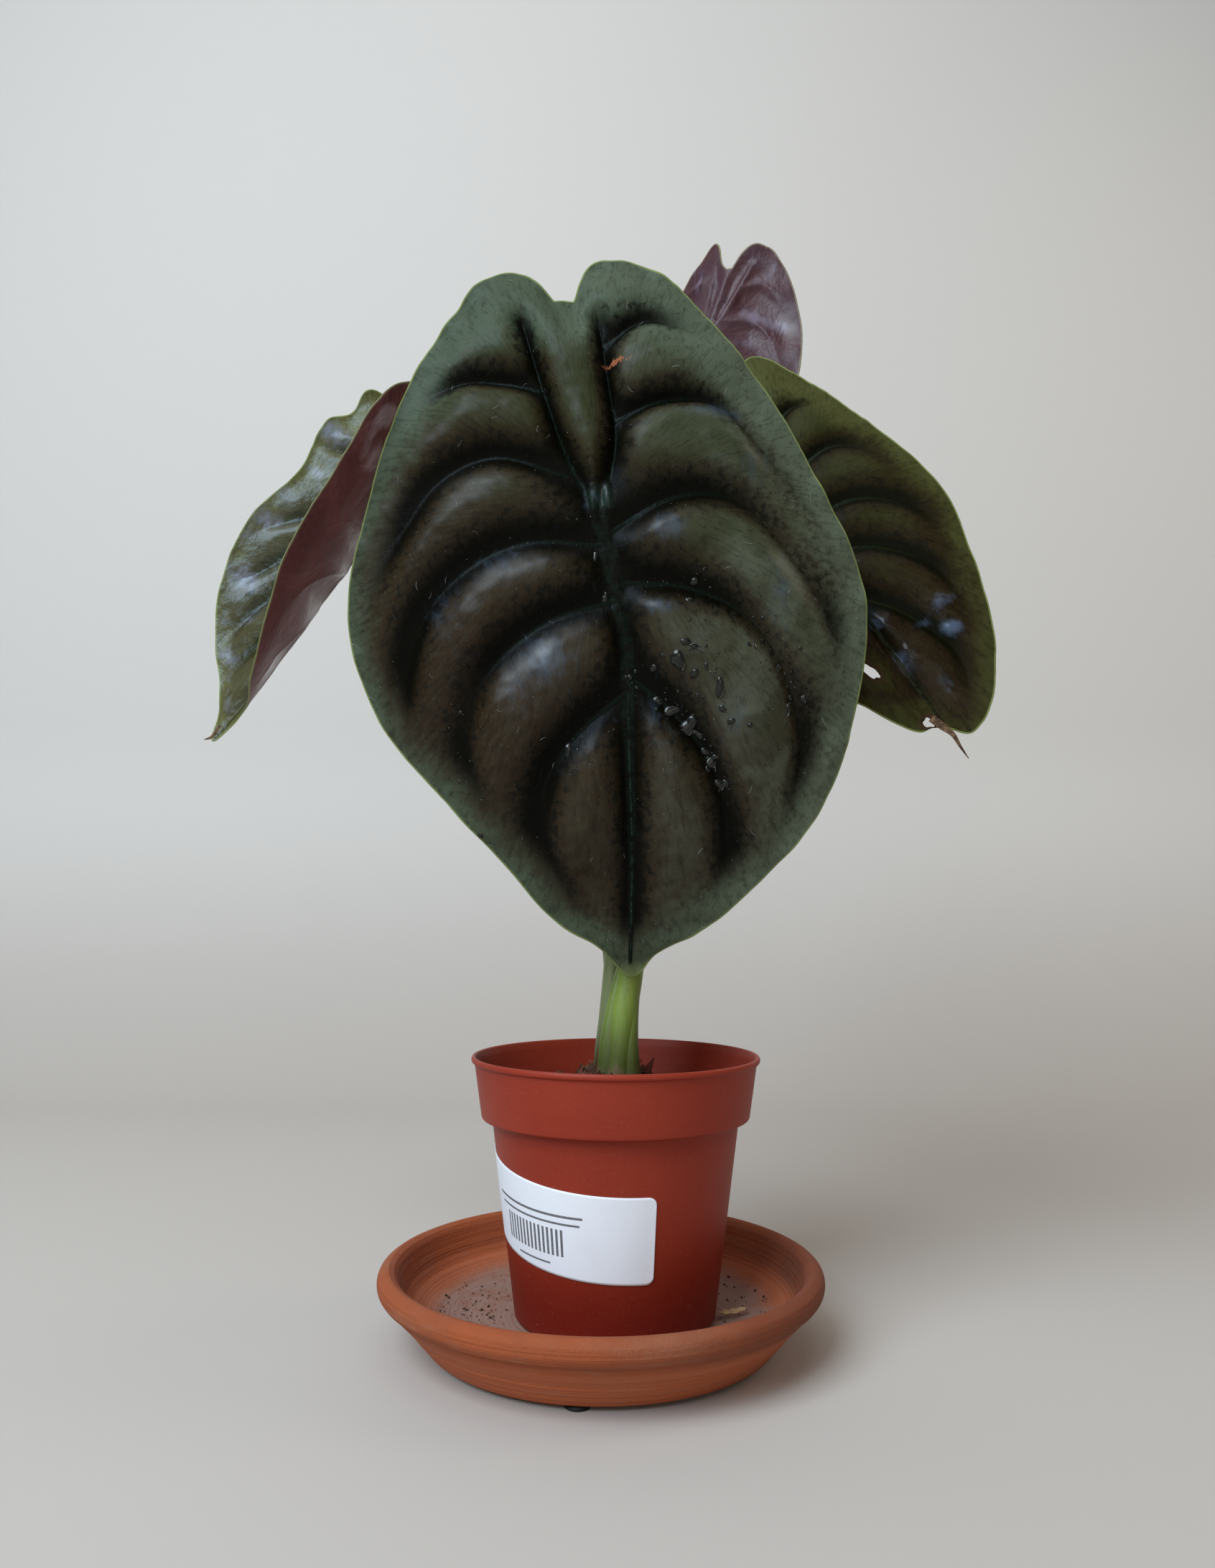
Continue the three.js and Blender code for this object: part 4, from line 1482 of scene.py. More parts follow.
@dataclass
class Pot:
    """The thin nursery pot with its paper label."""

    middle = 4.9
    sides: int = 224
    longest_step: float = 1.1
    wall: tuple[float, float, float] = (35.4, 9.3, (44 - 35.4) / (74.8 - 9.3))
    outline: Sequence[FlatPoint] = (
        (0, 9.3), (29.6, 9.3), (30.6, 8.3), (34.4, 8.3), (35.4, 9.3), (44, 74.8), (44.5, 76.1),
        (47.5, 76.5), (48, 76.9), (50.6, 94.6), (50.8, 95.6), (51.8, 96), (52, 97.1), (51.5, 98),
        (50.5, 97.9), (49.8, 95.4), (47, 77.7), (43, 75.4), (34.5, 10.6), (0, 10.6),
    )
    label_span: tuple[float, float] = (-92, 18.3)
    label_half: float = 14.1
    label_middle: float = 43.5
    label_corner: float = 2.5
    label_thick: float = 0.22
    label_lift: float = 0.12
    plastic: Finish = PotPlastic("pot_plastic")
    paper: Finish = LabelPaper("label_paper")

    def build(self) -> None:
        """Builds the pot and its label."""
        profile = stepped(eased(self.outline, 0.5, 5), self.longest_step)
        points, faces = turned(profile, self.sides, (self.middle, 0))
        shell = new_object(new_mesh("nursery_pot", points, faces), self.plastic.material())
        hand_over(shell, "pot_plastic", "pot")
        self.build_label()

    def build_label(self) -> None:
        """Bends a sheet with round corners on to the pot's wall."""
        start, end = self.label_span
        foot, foot_height, slope = self.wall
        reach = foot + (self.label_middle - foot_height) * slope
        length = math.radians(end - start) * reach
        columns, rows = 110, 36
        near_ends = (0, 0.002, 0.005, 0.01, 0.016, 0.984, 0.99, 0.995, 0.998, 1)
        across = np.sort([*np.linspace(0, 1, columns + 1)[1:-1], *near_ends])
        points, flat = [], []
        for layer in (self.label_thick + 0.05, 0.05):
            for share in across:
                angle = start + (end - start) * share
                inset = max(0.0, self.label_corner - min(share, 1 - share) * length)
                half = self.label_half - (self.label_corner - math.sqrt(self.label_corner**2 - inset**2))
                middle = self.label_middle + 0.0008 * (end - angle) ** 2
                for j in range(rows + 1):
                    drop = half * (2 * j / rows - 1)
                    z = middle + drop
                    lift = self.label_lift * math.exp(-(((share - 1) * length) / 1.2) ** 2)
                    r = foot + (z - foot_height) * slope + layer + lift
                    turn = math.radians(angle)
                    points.append((self.middle + r * math.sin(turn), -r * math.cos(turn), z))
                    flat.append(((1 - share) * length * MM, drop * MM, 0))
        faces = sheet_faces(len(across), rows + 1, flipped=True)
        mesh = new_mesh("paper_label", np.asarray(points), faces)
        hold(mesh, "flat", np.asarray(flat))
        hand_over(new_object(mesh, self.paper.material()), "label_paper", "label")


@dataclass
class Soil:
    """The potting mix: a lumpy bed under loose crumbs, bark and white grains."""

    top: float = 84
    outline: Sequence[FlatPoint] = ((0, 60), (41.2, 62), (42.6, 75.4), (46.3, 77.9), (47.1, 83.2))
    crumb: Finish = Speckled("soil_crumb", light=(0.09, 0.05, 0.03), dark=(0.018, 0.011, 0.008),
                             count=1600, depth=0.0003, roughness=0.95, tone="tone")
    bed: Finish = Speckled("soil_bed", light=(0.06, 0.036, 0.022), dark=(0.016, 0.01, 0.007),
                           count=700, depth=0.0008, roughness=0.98)
    bark: Finish = Speckled("soil_bark", light=(0.16, 0.085, 0.04), dark=(0.05, 0.024, 0.012),
                            count=900, depth=0.0003, roughness=0.9, tone="tone")
    white: Finish = Speckled("white_grain", light=(0.8, 0.78, 0.74), dark=(0.55, 0.51, 0.46),
                             count=1500, depth=0.0003, roughness=0.9)

    def build(self) -> None:
        """Builds the bed and strews it."""
        rings = [(r, self.top) for r in np.linspace(45.5, 1.5, 44)]
        points, faces = turned([*self.outline, *rings, (0, self.top)], 160, (Pot.middle, 0))
        upper = fade(points[:, 2], self.top - 1.0, self.top - 0.2)
        points[:, 2] += upper * (0.8 * ripples(points[:, :2], 9, 21) + 0.35 * ripples(points[:, :2], 3.2, 22))
        mesh = new_mesh("soil_bed", points, faces)
        crown_gap = np.hypot(points[:, 0] - Crown.centre[0], points[:, 1] - Crown.centre[1])
        rim_gap = np.hypot(points[:, 0] - Pot.middle, points[:, 1])
        hold(mesh, "thick", upper * fade(crown_gap, 11, 16) * (1 - fade(rim_gap, 43.5, 46)))
        bed = new_object(mesh, self.bed.material())
        for name, finish, density, low, high, height, knock, seed in (
            ("soil_crumbs", self.crumb, 0.32, 0.4, 1.6, 0.8, 0.7, 11),
            ("soil_bark", self.bark, 0.03, 1.2, 3.2, 0.45, 1.0, 12),
            ("white_grains", self.white, 0.02, 0.8, 1.9, 0.9, 0.8, 13),
        ):
            bits = Strewn(name, density, low, high, height, knock, seed, thickness="thick", sink=0.1)
            hand_over(bits.grow(mesh.copy(), finish.material()), "potting_mix")
        hand_over(bed, "potting_mix", "soil")


@dataclass
class Crown:
    """The plant's foot: a fibrous lump with dry husks and the young spear.

    A husk is where it starts and how far it reaches round, in degrees, its foot and top, and its flare.
    """

    centre = (4.6, 3.4)
    outline: Sequence[FlatPoint] = (
        (0, 76), (13.6, 77), (14.6, 82), (13.8, 87), (12, 91), (9, 93.2), (5, 94.2), (0, 94.4),
    )
    husks: Sequence[tuple[float, ...]] = (
        (160, 75, 79, 93.5, 1.8), (225, 50, 80, 92.4, 2.2), (290, 70, 78, 91, 1.4), (20, 60, 79, 92, 2.0),
        (90, 62, 78, 93, 1.6),
    )
    spear_path: Sequence[Point] = ((14.6, -2.4, 76), (15, -2.4, 86), (16.2, -2.2, 92), (18.7, -2, 97))
    spear_widths: Sequence[float] = (2.0, 2.3, 1.9, 0.3)
    sheath_path: Sequence[Point] = (
        (5.8, -4.6, 82), (5.8, -4.7, 92), (6.0, -4.6, 103), (7.2, -4.0, 114), (9.0, -3.2, 125),
        (10.4, -2.6, 133))
    sheath_widths: Sequence[float] = (8.1, 7.9, 7.1, 6.1, 5.2, 4.0)
    hem_path: Sequence[Point] = (
        (-1.4, -5.6, 82), (-1.5, -5.6, 90), (-0.7, -5.2, 100), (0.9, -4.6, 110), (3.0, -4.0, 118))
    hem_widths: Sequence[float] = (1.8, 1.5, 1.0, 0.7, 0.2)
    sheath: Finish = StemSkin("stem_sheath", green=(0.17, 0.24, 0.035), shade=(0.1, 0.15, 0.02))
    lump: Finish = Speckled("crown_lump", light=(0.09, 0.045, 0.024), dark=(0.025, 0.012, 0.008),
                            count=800, depth=0.0006, roughness=0.95, drawn=(1, 1, 0.25))
    husk: Finish = Speckled("crown_husk", light=(0.13, 0.045, 0.025), dark=(0.035, 0.012, 0.008),
                            count=900, depth=0.0003, roughness=0.85, drawn=(1, 1, 0.2))
    fibre: Finish = Speckled("crown_fibre", light=(0.22, 0.13, 0.075), dark=(0.07, 0.035, 0.02),
                             count=1500, depth=0.0001, roughness=0.9, tone="tone")
    bud: Finish = Speckled("young_spear", light=(0.08, 0.014, 0.01), dark=(0.03, 0.007, 0.005),
                           count=700, depth=0.0002, roughness=0.85, drawn=(1, 1, 0.15))

    def build(self) -> None:
        """Builds the crown's pieces."""
        profile = evenly(np.asarray(eased(self.outline, 3, 6)), 0.5)
        points, faces = turned(profile, 120)
        angle = np.arctan2(points[:, 1], points[:, 0])
        swell = 1 + 0.05 * np.sin(5 * angle + points[:, 2] * 0.2) + 0.04 * np.sin(11 * angle)
        lumps = 1 + 0.03 * ripples(points, 4, 31) + 0.012 * ripples(points, 1.4, 32)
        points[:, :2] *= (swell * lumps)[:, None]
        points[:, :2] += self.centre
        mesh = new_mesh("crown_lump", points, faces)
        hand_over(new_object(mesh, self.lump.material()), "crown_husk", "crown")
        fibres = Strands("crown_fibres", density=0.5, length=4.2, thick=0.09, seed=5)
        hand_over(fibres.grow(mesh.copy(), self.fibre.material()), "crown_husk")
        self.build_husks()
        self.build_spear()
        for name, path, half_widths, flatness, finish, slot in (
            ("stem_sheath", self.sheath_path, self.sheath_widths, 0.72, self.sheath, "stem_bright"),
            ("sheath_hem", self.hem_path, self.hem_widths, 0.5, self.husk, "crown_husk"),
        ):
            points, faces = tapered(curve_through(path, 0.6), half_widths, flatness, 48)
            hand_over(new_object(new_mesh(name, points, faces), finish.material()), slot)

    def build_husks(self) -> None:
        """Wraps dry husks with torn tops round the crown."""
        rows, columns = 16, 30
        for number, (start, span, low, high, flare) in enumerate(self.husks):
            points = []
            for layer in (0.0, -0.35):
                for i in range(rows + 1):
                    rise = i / rows
                    for j in range(columns + 1):
                        u = j / columns
                        angle = math.radians(start + span * u)
                        torn = 1.6 * math.sin(u * 17 + number) * math.sin(u * 31 + 2 * number)
                        z = low + (high - low - 2.5 * (2 * u - 1) ** 2 + torn) * rise
                        base = float(np.interp(z, [77, 82, 87, 91, 93.2], [14.2, 14.9, 14.1, 12.3, 10.2]))
                        r = base + 0.5 + flare * rise**3 + layer + 0.3 * math.sin(9 * u + 4 * rise + number)
                        x = self.centre[0] + r * math.cos(angle)
                        points.append((x, self.centre[1] + r * math.sin(angle), z))
            mesh = new_mesh(f"dry_husk_{number + 1}", np.asarray(points), sheet_faces(rows + 1, columns + 1))
            hand_over(new_object(mesh, self.husk.material()), "crown_husk")

    def build_spear(self) -> None:
        """Builds the young spear, flat and keeled, with its dry point."""
        points, faces = tapered(curve_through(self.spear_path, 0.5), self.spear_widths, 0.5, 24)
        spear = new_object(new_mesh("young_spear", points, faces), self.bud.material())
        hand_over(spear, "young_spear", "spear")


# Leaves and stems

@dataclass
class LeafShape:
    """A blade's form: its outline and veins in the flat, and how it bends in space.

    Flat points are [toward the tip, to the right] from the stem's joint, for a leaf whose joint
    is 160 from its tip before it is scaled. The outline is angle from the tip and distance.
    """

    outline: Sequence[FlatPoint]
    veins: Sequence[Sequence[FlatPoint]]
    scale: float
    half: float
    at: Point
    tip: Point
    up: Point
    rise: tuple[float, float]
    curl: tuple[float, float]
    soft: float
    droop: float
    lobes: float
    relief: float
    sway: float = 0
    ridge: float = 0
    groove: float = 0.5
    rib_half: tuple[float, float] = (3.2, 0.8)
    widths: tuple[float, float, float] = (6.0, 5.5, 11.0)
    bulges: Sequence[Spot] = ()
    holes: Sequence[Spot] = ()
    # clear spots lessen the painted shade in the hollows; sheen spots, over the dull floor, set the coat and
    # where painted sheen is laid.
    clear: Sequence[Spot] = ()
    sheen: Sequence[Spot] = ()
    dull: float = 1.0
    joint_length = 160.0
    edge_step = 1.1
    fine_step = 0.25
    fill_step = 1.45
    margin_rows = (0.35, 0.8, 1.5, 2.4)
    vein_rows = (0.5, 1.1, 1.9, 2.9)

    def axes(self) -> tuple[np.ndarray, np.ndarray, np.ndarray]:
        """The directions of the tip, of the right side and of the upper side.

        Returns:
            Three vectors of length 1.
        """
        tip = np.array(self.tip, float)
        tip /= np.linalg.norm(tip)
        up = np.array(self.up, float)
        up -= tip * (up @ tip)
        up /= np.linalg.norm(up)
        return tip, np.cross(up, tip), up

    def radius(self, angle: np.ndarray) -> np.ndarray:
        """Distance of the margin from the joint at angles in degrees, straight across the notch.

        Args:
            angle: Angles from the tip.

        Returns:
            The distances.
        """
        first, last = self.outline[0], self.outline[-1]
        wrapped = np.where(angle < first[0], angle + 360, angle)
        notch = wrapped > last[0]
        across = (wrapped - last[0]) / (first[0] + 360 - last[0])
        straight = last[1] * (1 - across) + first[1] * across
        return np.where(notch, straight, knot_curve(self.outline, np.where(notch, 0, wrapped))) * self.scale

    def margin(self, spacing: float) -> np.ndarray:
        """The margin as an evenly spaced closed loop, with a point at the tip.

        Args:
            spacing: The wanted step.

        Returns:
            The loop's flat points.
        """
        halves = []
        for start, end in ((self.outline[0][0], 0), (0, self.outline[-1][0])):
            angle = np.linspace(start, end, 1500)
            turn = np.radians(angle)
            way = np.stack([np.cos(turn), np.sin(turn)], axis=1)
            halves.append(evenly(self.radius(angle)[:, None] * way, spacing))
        notch = evenly(np.stack([halves[1][-1], halves[0][0]]), spacing)
        return np.vstack([halves[0][:-1], halves[1], notch[1:-1]])

    def vein_lines(self, spacing: float) -> list[np.ndarray]:
        """The veins in the flat, the middle rib first.

        Args:
            spacing: The wanted step.

        Returns:
            A line for each vein.
        """
        lines = []
        for vein in self.veins:
            line = curve_through(vein, 2)
            shift = self.ridge / self.scale * np.clip(1 - np.maximum(line[:, 0], 0) / self.joint_length, 0, 1)
            lines.append(evenly((line + np.stack([0 * shift, shift], axis=1)) * self.scale, spacing))
        return lines

    def cushions(self, flat: np.ndarray) -> np.ndarray:
        """How full the cushions between the veins are.

        A cushion is steep below the vein at its base end and slopes gently to the next vein.

        Args:
            flat: The flat points.

        Returns:
            A share for each point, 0 on a vein and 1 at a cushion's top.
        """
        lines = self.vein_lines(0.6)
        gaps, turns = zip(*(offset_from(line, flat) for line in lines[:3]))
        closest = np.argmin(gaps, axis=0)
        side = np.where(closest == 0, np.sign(turns[0]), 0.0)
        side[(closest == 0) & (flat[:, 0] < 0)] = 0
        for k in (1, 2):
            lobe = np.sign(self.veins[k][-1][1] - self.veins[k][0][1])
            side[(closest == k) & ((turns[k] < 0) == (lobe > 0))] = lobe
        below, above = np.full(len(flat), 1e3), np.full(len(flat), 1e3)
        for line, vein in zip(lines[3:], self.veins[3:]):
            lobe = np.sign(np.mean([point[1] for point in vein]))
            ahead = (line[-1] - line[-2]) / np.linalg.norm(line[-1] - line[-2])
            drawn_on = np.vstack([line, line[-1] + ahead * np.arange(1, 60)[:, None]])
            gap, turn = offset_from(drawn_on, flat)
            own = side == lobe
            tipward = turn * lobe < 0
            below = np.where(own & tipward, np.minimum(below, gap), below)
            above = np.where(own & ~tipward, np.minimum(above, gap), above)
        tight = self.scale * (1 - 0.42 * fade(-flat[:, 0], 0, 35 * self.scale))
        by_rib, under_vein, over_vein = (width * tight for width in self.widths)
        return (
            (1 - np.exp(-((np.min(gaps, axis=0) / by_rib) ** 1.5)))
            * (1 - np.exp(-((below / under_vein) ** 1.5)))
            * (1 - np.exp(-((above / over_vein) ** 1.8)))
        )

    def hole_loops(self) -> list[np.ndarray]:
        """The outlines of holes that have been eaten or torn in the blade.

        Returns:
            A closed loop for each hole.
        """
        loops = []
        for along, right, long, wide, turn in self.holes:
            t = np.linspace(0, 2 * math.pi, 40, endpoint=False)
            ragged = 1 + 0.12 * np.sin(3 * t + along) + 0.07 * np.sin(5 * t)
            u, v = long * np.cos(t) * ragged, wide * np.sin(t) * ragged
            c, s = math.cos(turn), math.sin(turn)
            loops.append(np.stack([along + u * c - v * s, right + u * s + v * c], axis=1))
        return loops

    def cross_section(self, side: int, out: np.ndarray) -> tuple[np.ndarray, np.ndarray]:
        """How far out and how high a point lies that is so far from the middle rib.

        Args:
            side: 0 for the left half, 1 for the right.
            out: Distances along the blade.

        Returns:
            Distances out and heights.
        """
        run = np.linspace(0, self.half * 1.9, 400)
        angle = self.rise[side] - self.curl[side] / self.half * run
        angle = angle * (1 - np.exp(-((run / self.soft) ** 2)))
        step = run[1]
        reach = np.concatenate([[0], np.cumsum((np.cos(angle[1:]) + np.cos(angle[:-1])) / 2 * step)])
        height = np.concatenate([[0], np.cumsum((np.sin(angle[1:]) + np.sin(angle[:-1])) / 2 * step)])
        return np.interp(out, run, reach), np.interp(out, run, height)

    def place(self, flat: np.ndarray, height: np.ndarray) -> np.ndarray:
        """Bends flat points into space.

        Args:
            flat: The flat points.
            height: How far each stands above the bent blade.

        Returns:
            Points in millimetres.
        """
        tip, side, up = self.axes()
        along, right = flat[:, 0], flat[:, 1]
        length = self.joint_length * self.scale
        bend = np.where(along > 0, self.droop * along, self.lobes * -along) / length
        chord = np.sinc(bend / 2 / math.pi)
        run = along * chord * np.cos(bend / 2)
        drop = np.abs(along) * chord * np.sin(bend / 2)
        lean = np.where(along > 0, bend, -bend)[:, None]
        normal = up * np.cos(lean) + tip * np.sin(lean)
        left_out, left_height = self.cross_section(0, np.abs(right))
        right_out, right_height = self.cross_section(1, np.abs(right))
        out = np.where(right > 0, right_out, -left_out)
        rise = np.where(right > 0, right_height, left_height)
        bow = self.sway * (along / length) ** 2 * np.sign(along)
        return (
            np.array(self.at) + tip * run[:, None] - up * drop[:, None]
            + side * (out + bow)[:, None] + normal * (rise + height)[:, None]
        )

    def sheet(self) -> tuple[np.ndarray, list[tuple[int, int, int]]]:
        """Fills the outline with triangles whose edges run along the margin and the veins.

        Returns:
            The flat points and the triangles.
        """
        loop = self.margin(self.edge_step)
        dense = self.margin(self.fine_step)
        holes = self.hole_loops()
        lines = []
        for line in self.vein_lines(self.edge_step):
            gap, _ = nearest(dense, line)
            lines.append(line[(gap > 1.6) & inside(line, loop)])
        spine = np.vstack([evenly(line, self.fine_step) for line in lines])
        points, edges, count = [], [], 0
        for number, path in enumerate((loop, *holes, *lines)):
            steps = len(path) if number <= len(holes) else len(path) - 1
            edges += [(count + i, count + (i + 1) % len(path)) for i in range(steps)]
            points.append(path)
            count += len(path)
        spare = [self.beside(loop, gap, dense, spine) for gap in self.margin_rows]
        for gap in self.vein_rows:
            for line in lines:
                spare += [self.beside(line, gap, spine, dense), self.beside(line, -gap, spine, dense)]
        step = self.fill_step
        low, high = loop.min(axis=0), loop.max(axis=0)
        rows = np.arange(low[0], high[0], step * 0.866)
        grid = [np.stack([np.full_like(r, a), r + step / 2 * (i % 2)], axis=1)
                for i, a in enumerate(rows) for r in [np.arange(low[1], high[1], step)]]
        fill = np.vstack(grid)
        fill = fill[inside(fill, loop)]
        from_margin, _ = nearest(dense, fill)
        from_vein, _ = nearest(spine, fill)
        spare.append(fill[(from_margin > 3.1) & (from_vein > 3.7)])
        cloud = np.vstack([p for p in spare if len(p)])
        for hole in holes:
            gap, _ = nearest(hole, cloud)
            cloud = cloud[(gap > 0.4) & ~inside(cloud, hole)]
        points.append(cloud)
        everything = [Vector(p) for p in np.vstack(points).tolist()]
        verts, _, faces, *_ = delaunay_2d_cdt(everything, edges, [], 1, 1e-5)
        flat = np.array([tuple(v) for v in verts])
        corners = np.array([f for f in faces if len(f) == 3])
        middles = flat[corners].mean(axis=1)
        kept = inside(middles, loop)
        for hole in holes:
            kept &= ~inside(middles, hole)
        return flat, [tuple(int(c) for c in f) for f in corners[kept]]

    @staticmethod
    def beside(line: np.ndarray, gap: float, own: np.ndarray, other: np.ndarray) -> np.ndarray:
        """Points at a distance from a line, without those that crowd another line.

        Args:
            line: The line.
            gap: How far to its side.
            own: Points along its own kind of line.
            other: Points along the other kind.

        Returns:
            The points that are left.
        """
        if len(line) < 3:
            return np.zeros((0, 2))
        heading = np.gradient(line, axis=0)
        heading /= np.linalg.norm(heading, axis=1)[:, None] + 1e-9
        moved = line + gap * np.stack([-heading[:, 1], heading[:, 0]], axis=1)
        from_own, _ = nearest(own, moved)
        from_other, _ = nearest(other, moved)
        return moved[(from_own > abs(gap) * 0.88) & (from_other > 0.5)]


@dataclass
class Leaf:
    """A leaf blade as one closed piece, its upper side and underside dressed apart."""

    name: str
    node: str
    slot: str
    shape: LeafShape
    top: Finish
    under: Finish
    thick: float = 0.7
    thin: float = 0.34
    under_rib: float = 0.7
    under_vein: float = 0.3
    seed: int = 1

    def relief(self, flat: np.ndarray, full: np.ndarray, vein: np.ndarray, rib: np.ndarray,
               edge: np.ndarray, share: np.ndarray) -> np.ndarray:
        """Height of the quilting above the bent blade.

        Args:
            flat: The flat points.
            full: How full the cushion is there.
            vein: Distances from the veins, grown where a vein has faded.
            rib: Distances from the main ribs, 1 at a rib's side.
            edge: Distances from the margin.
            share: How far out toward the margin they lie, from 0 to 1.

        Returns:
            The heights.
        """
        shape = self.shape
        quilt = shape.relief * full * (1 - fade(share, 0.66, 0.99))
        cord = 1.15 * np.exp(-((vein / 0.5) ** 2)) - 0.95 * np.exp(-((vein / 1.5) ** 2))
        cord *= shape.groove * fade(edge, 2, 10) * (0.3 + 0.7 * fade(flat[:, 1], -10, 10))
        round_rib = 0.5 * shape.scale * np.maximum(1 - rib**2, 0) * fade(edge, 1, 8)
        round_rib *= 1.7 * fade(flat[:, 0] / shape.scale, -14, 4) - 0.7
        along, right = flat[:, 0] / shape.scale, flat[:, 1] / shape.scale
        folds = np.exp(-(((right + 2.8) / 1.4) ** 2)) + 0.9 * np.exp(-(((right - 2.2) / 1.3) ** 2))
        joint = 2.0 * np.exp(-((along / 5.5) ** 2)) * folds
        sway = 0.5 * shape.scale * ripples(flat, 26, self.seed + 1) * fade(full, 0, 0.6)
        fine = 0.12 * shape.scale * ripples(flat, 6, self.seed + 3) * fade(full, 0, 0.6)
        wave = 0.55 * shape.scale * ripples(flat, 17, self.seed + 2) * (1 - fade(edge, 0, 9))
        return quilt + cord + round_rib + joint * shape.scale + sway + fine + wave + spots(flat, shape.bulges)

    def build(self) -> Object:
        """Builds the blade.

        Returns:
            The piece.
        """
        shape = self.shape
        flat, faces = shape.sheet()
        edge, _ = nearest(np.vstack([shape.margin(shape.fine_step), *shape.hole_loops()]), flat)
        full = shape.cushions(flat)
        lines = shape.vein_lines(0.3)
        fading = np.concatenate([np.linspace(0, 1, len(line)) for line in lines[3:]])
        vein, which = nearest(np.vstack(lines[3:]), flat)
        vein = vein + 1.4 * fading[which] ** 2
        wide, narrow = (half * shape.scale for half in shape.rib_half)
        girths = [np.linspace(wide, narrow, len(lines[0]))]
        girths += [np.linspace(wide * 0.42, narrow * 0.8, len(line)) for line in lines[1:3]]
        rib, which = nearest(np.vstack(lines[:3]), flat)
        rib = rib / np.concatenate(girths)[which]
        angle = np.degrees(np.arctan2(flat[:, 1], flat[:, 0]))
        share = np.hypot(*flat.T) / shape.radius(angle)
        middle = shape.place(flat, self.relief(flat, full, vein, rib, edge, share))
        corners = np.array(faces)
        first, second, third = (middle[corners[:, k]] for k in range(3))
        across = np.cross(second - first, third - first)
        normal = np.zeros_like(middle)
        for k in range(3):
            np.add.at(normal, corners[:, k], across)
        normal /= np.linalg.norm(normal, axis=1)[:, None] + 1e-12
        body = self.thin + (self.thick - self.thin) * fade(edge, 0, 9)
        swell = self.under_rib * np.exp(-((rib / 1.1) ** 2)) + self.under_vein * np.exp(-((vein / 0.9) ** 2))
        swell *= fade(edge, 1, 12)
        above, beneath = body / 2, body / 2 + swell
        points = np.vstack([middle + normal * above[:, None], middle - normal * beneath[:, None]])
        count = len(flat)
        sides = {(a, b) for f in faces for a, b in ((f[0], f[1]), (f[1], f[2]), (f[2], f[0]))}
        rim = [(b, a, a + count, b + count) for a, b in sides if (b, a) not in sides]
        below = [(a + count, c + count, b + count) for a, b, c in faces]
        mesh = new_mesh(self.name, points, [*faces, *rim, *below])
        holes = shape.hole_loops()
        torn = nearest(np.vstack(holes), flat)[0] if holes else np.full(count, 99.0)
        # hollow carries the dark hollows, partly painted shade; sheen sets the coat and the painted sheen.
        hollow = np.clip(1 - full - spots(flat, shape.clear), 0, 1)
        for name, values in (
            ("vein", vein), ("rib", rib), ("edge", edge), ("hollow", hollow), ("torn", torn),
            ("sheen", shape.dull + spots(flat, shape.sheen)),
        ):
            hold(mesh, name, np.tile(values, 2))
        hold(mesh, "flat", np.tile(np.column_stack([flat * MM, np.zeros(count)]), (2, 1)))
        self.skin = (points[:count], faces, flat)
        slots = [Side.TOP.value] * (len(faces) + len(rim)) + [Side.UNDER.value] * len(below)
        piece = new_object(mesh, self.top.material(), self.under.material())
        mesh.polygons.foreach_set("material_index", slots)
        hand_over(piece, self.slot, self.node)
        return piece


@dataclass
class WitheredTip:
    """A leaf's dry point, curled like a fine tail.

    The path is given as along, right and height on the blade.
    """

    name: str
    slot: str
    shape: LeafShape
    path: Sequence[Point]
    half_widths: Sequence[float]
    skin: Finish = Speckled("withered_tip", light=(0.17, 0.1, 0.05), dark=(0.05, 0.026, 0.014), count=1500,
                            depth=0.0001, roughness=0.7)

    def build(self) -> None:
        """Builds the tail."""
        knots = np.asarray(self.path, float)
        line = curve_through(self.shape.place(knots[:, :2], knots[:, 2]), 0.4)
        points, faces = tapered(line, self.half_widths, 0.35, 16)
        hand_over(new_object(new_mesh(self.name, points, faces), self.skin.material()), self.slot)


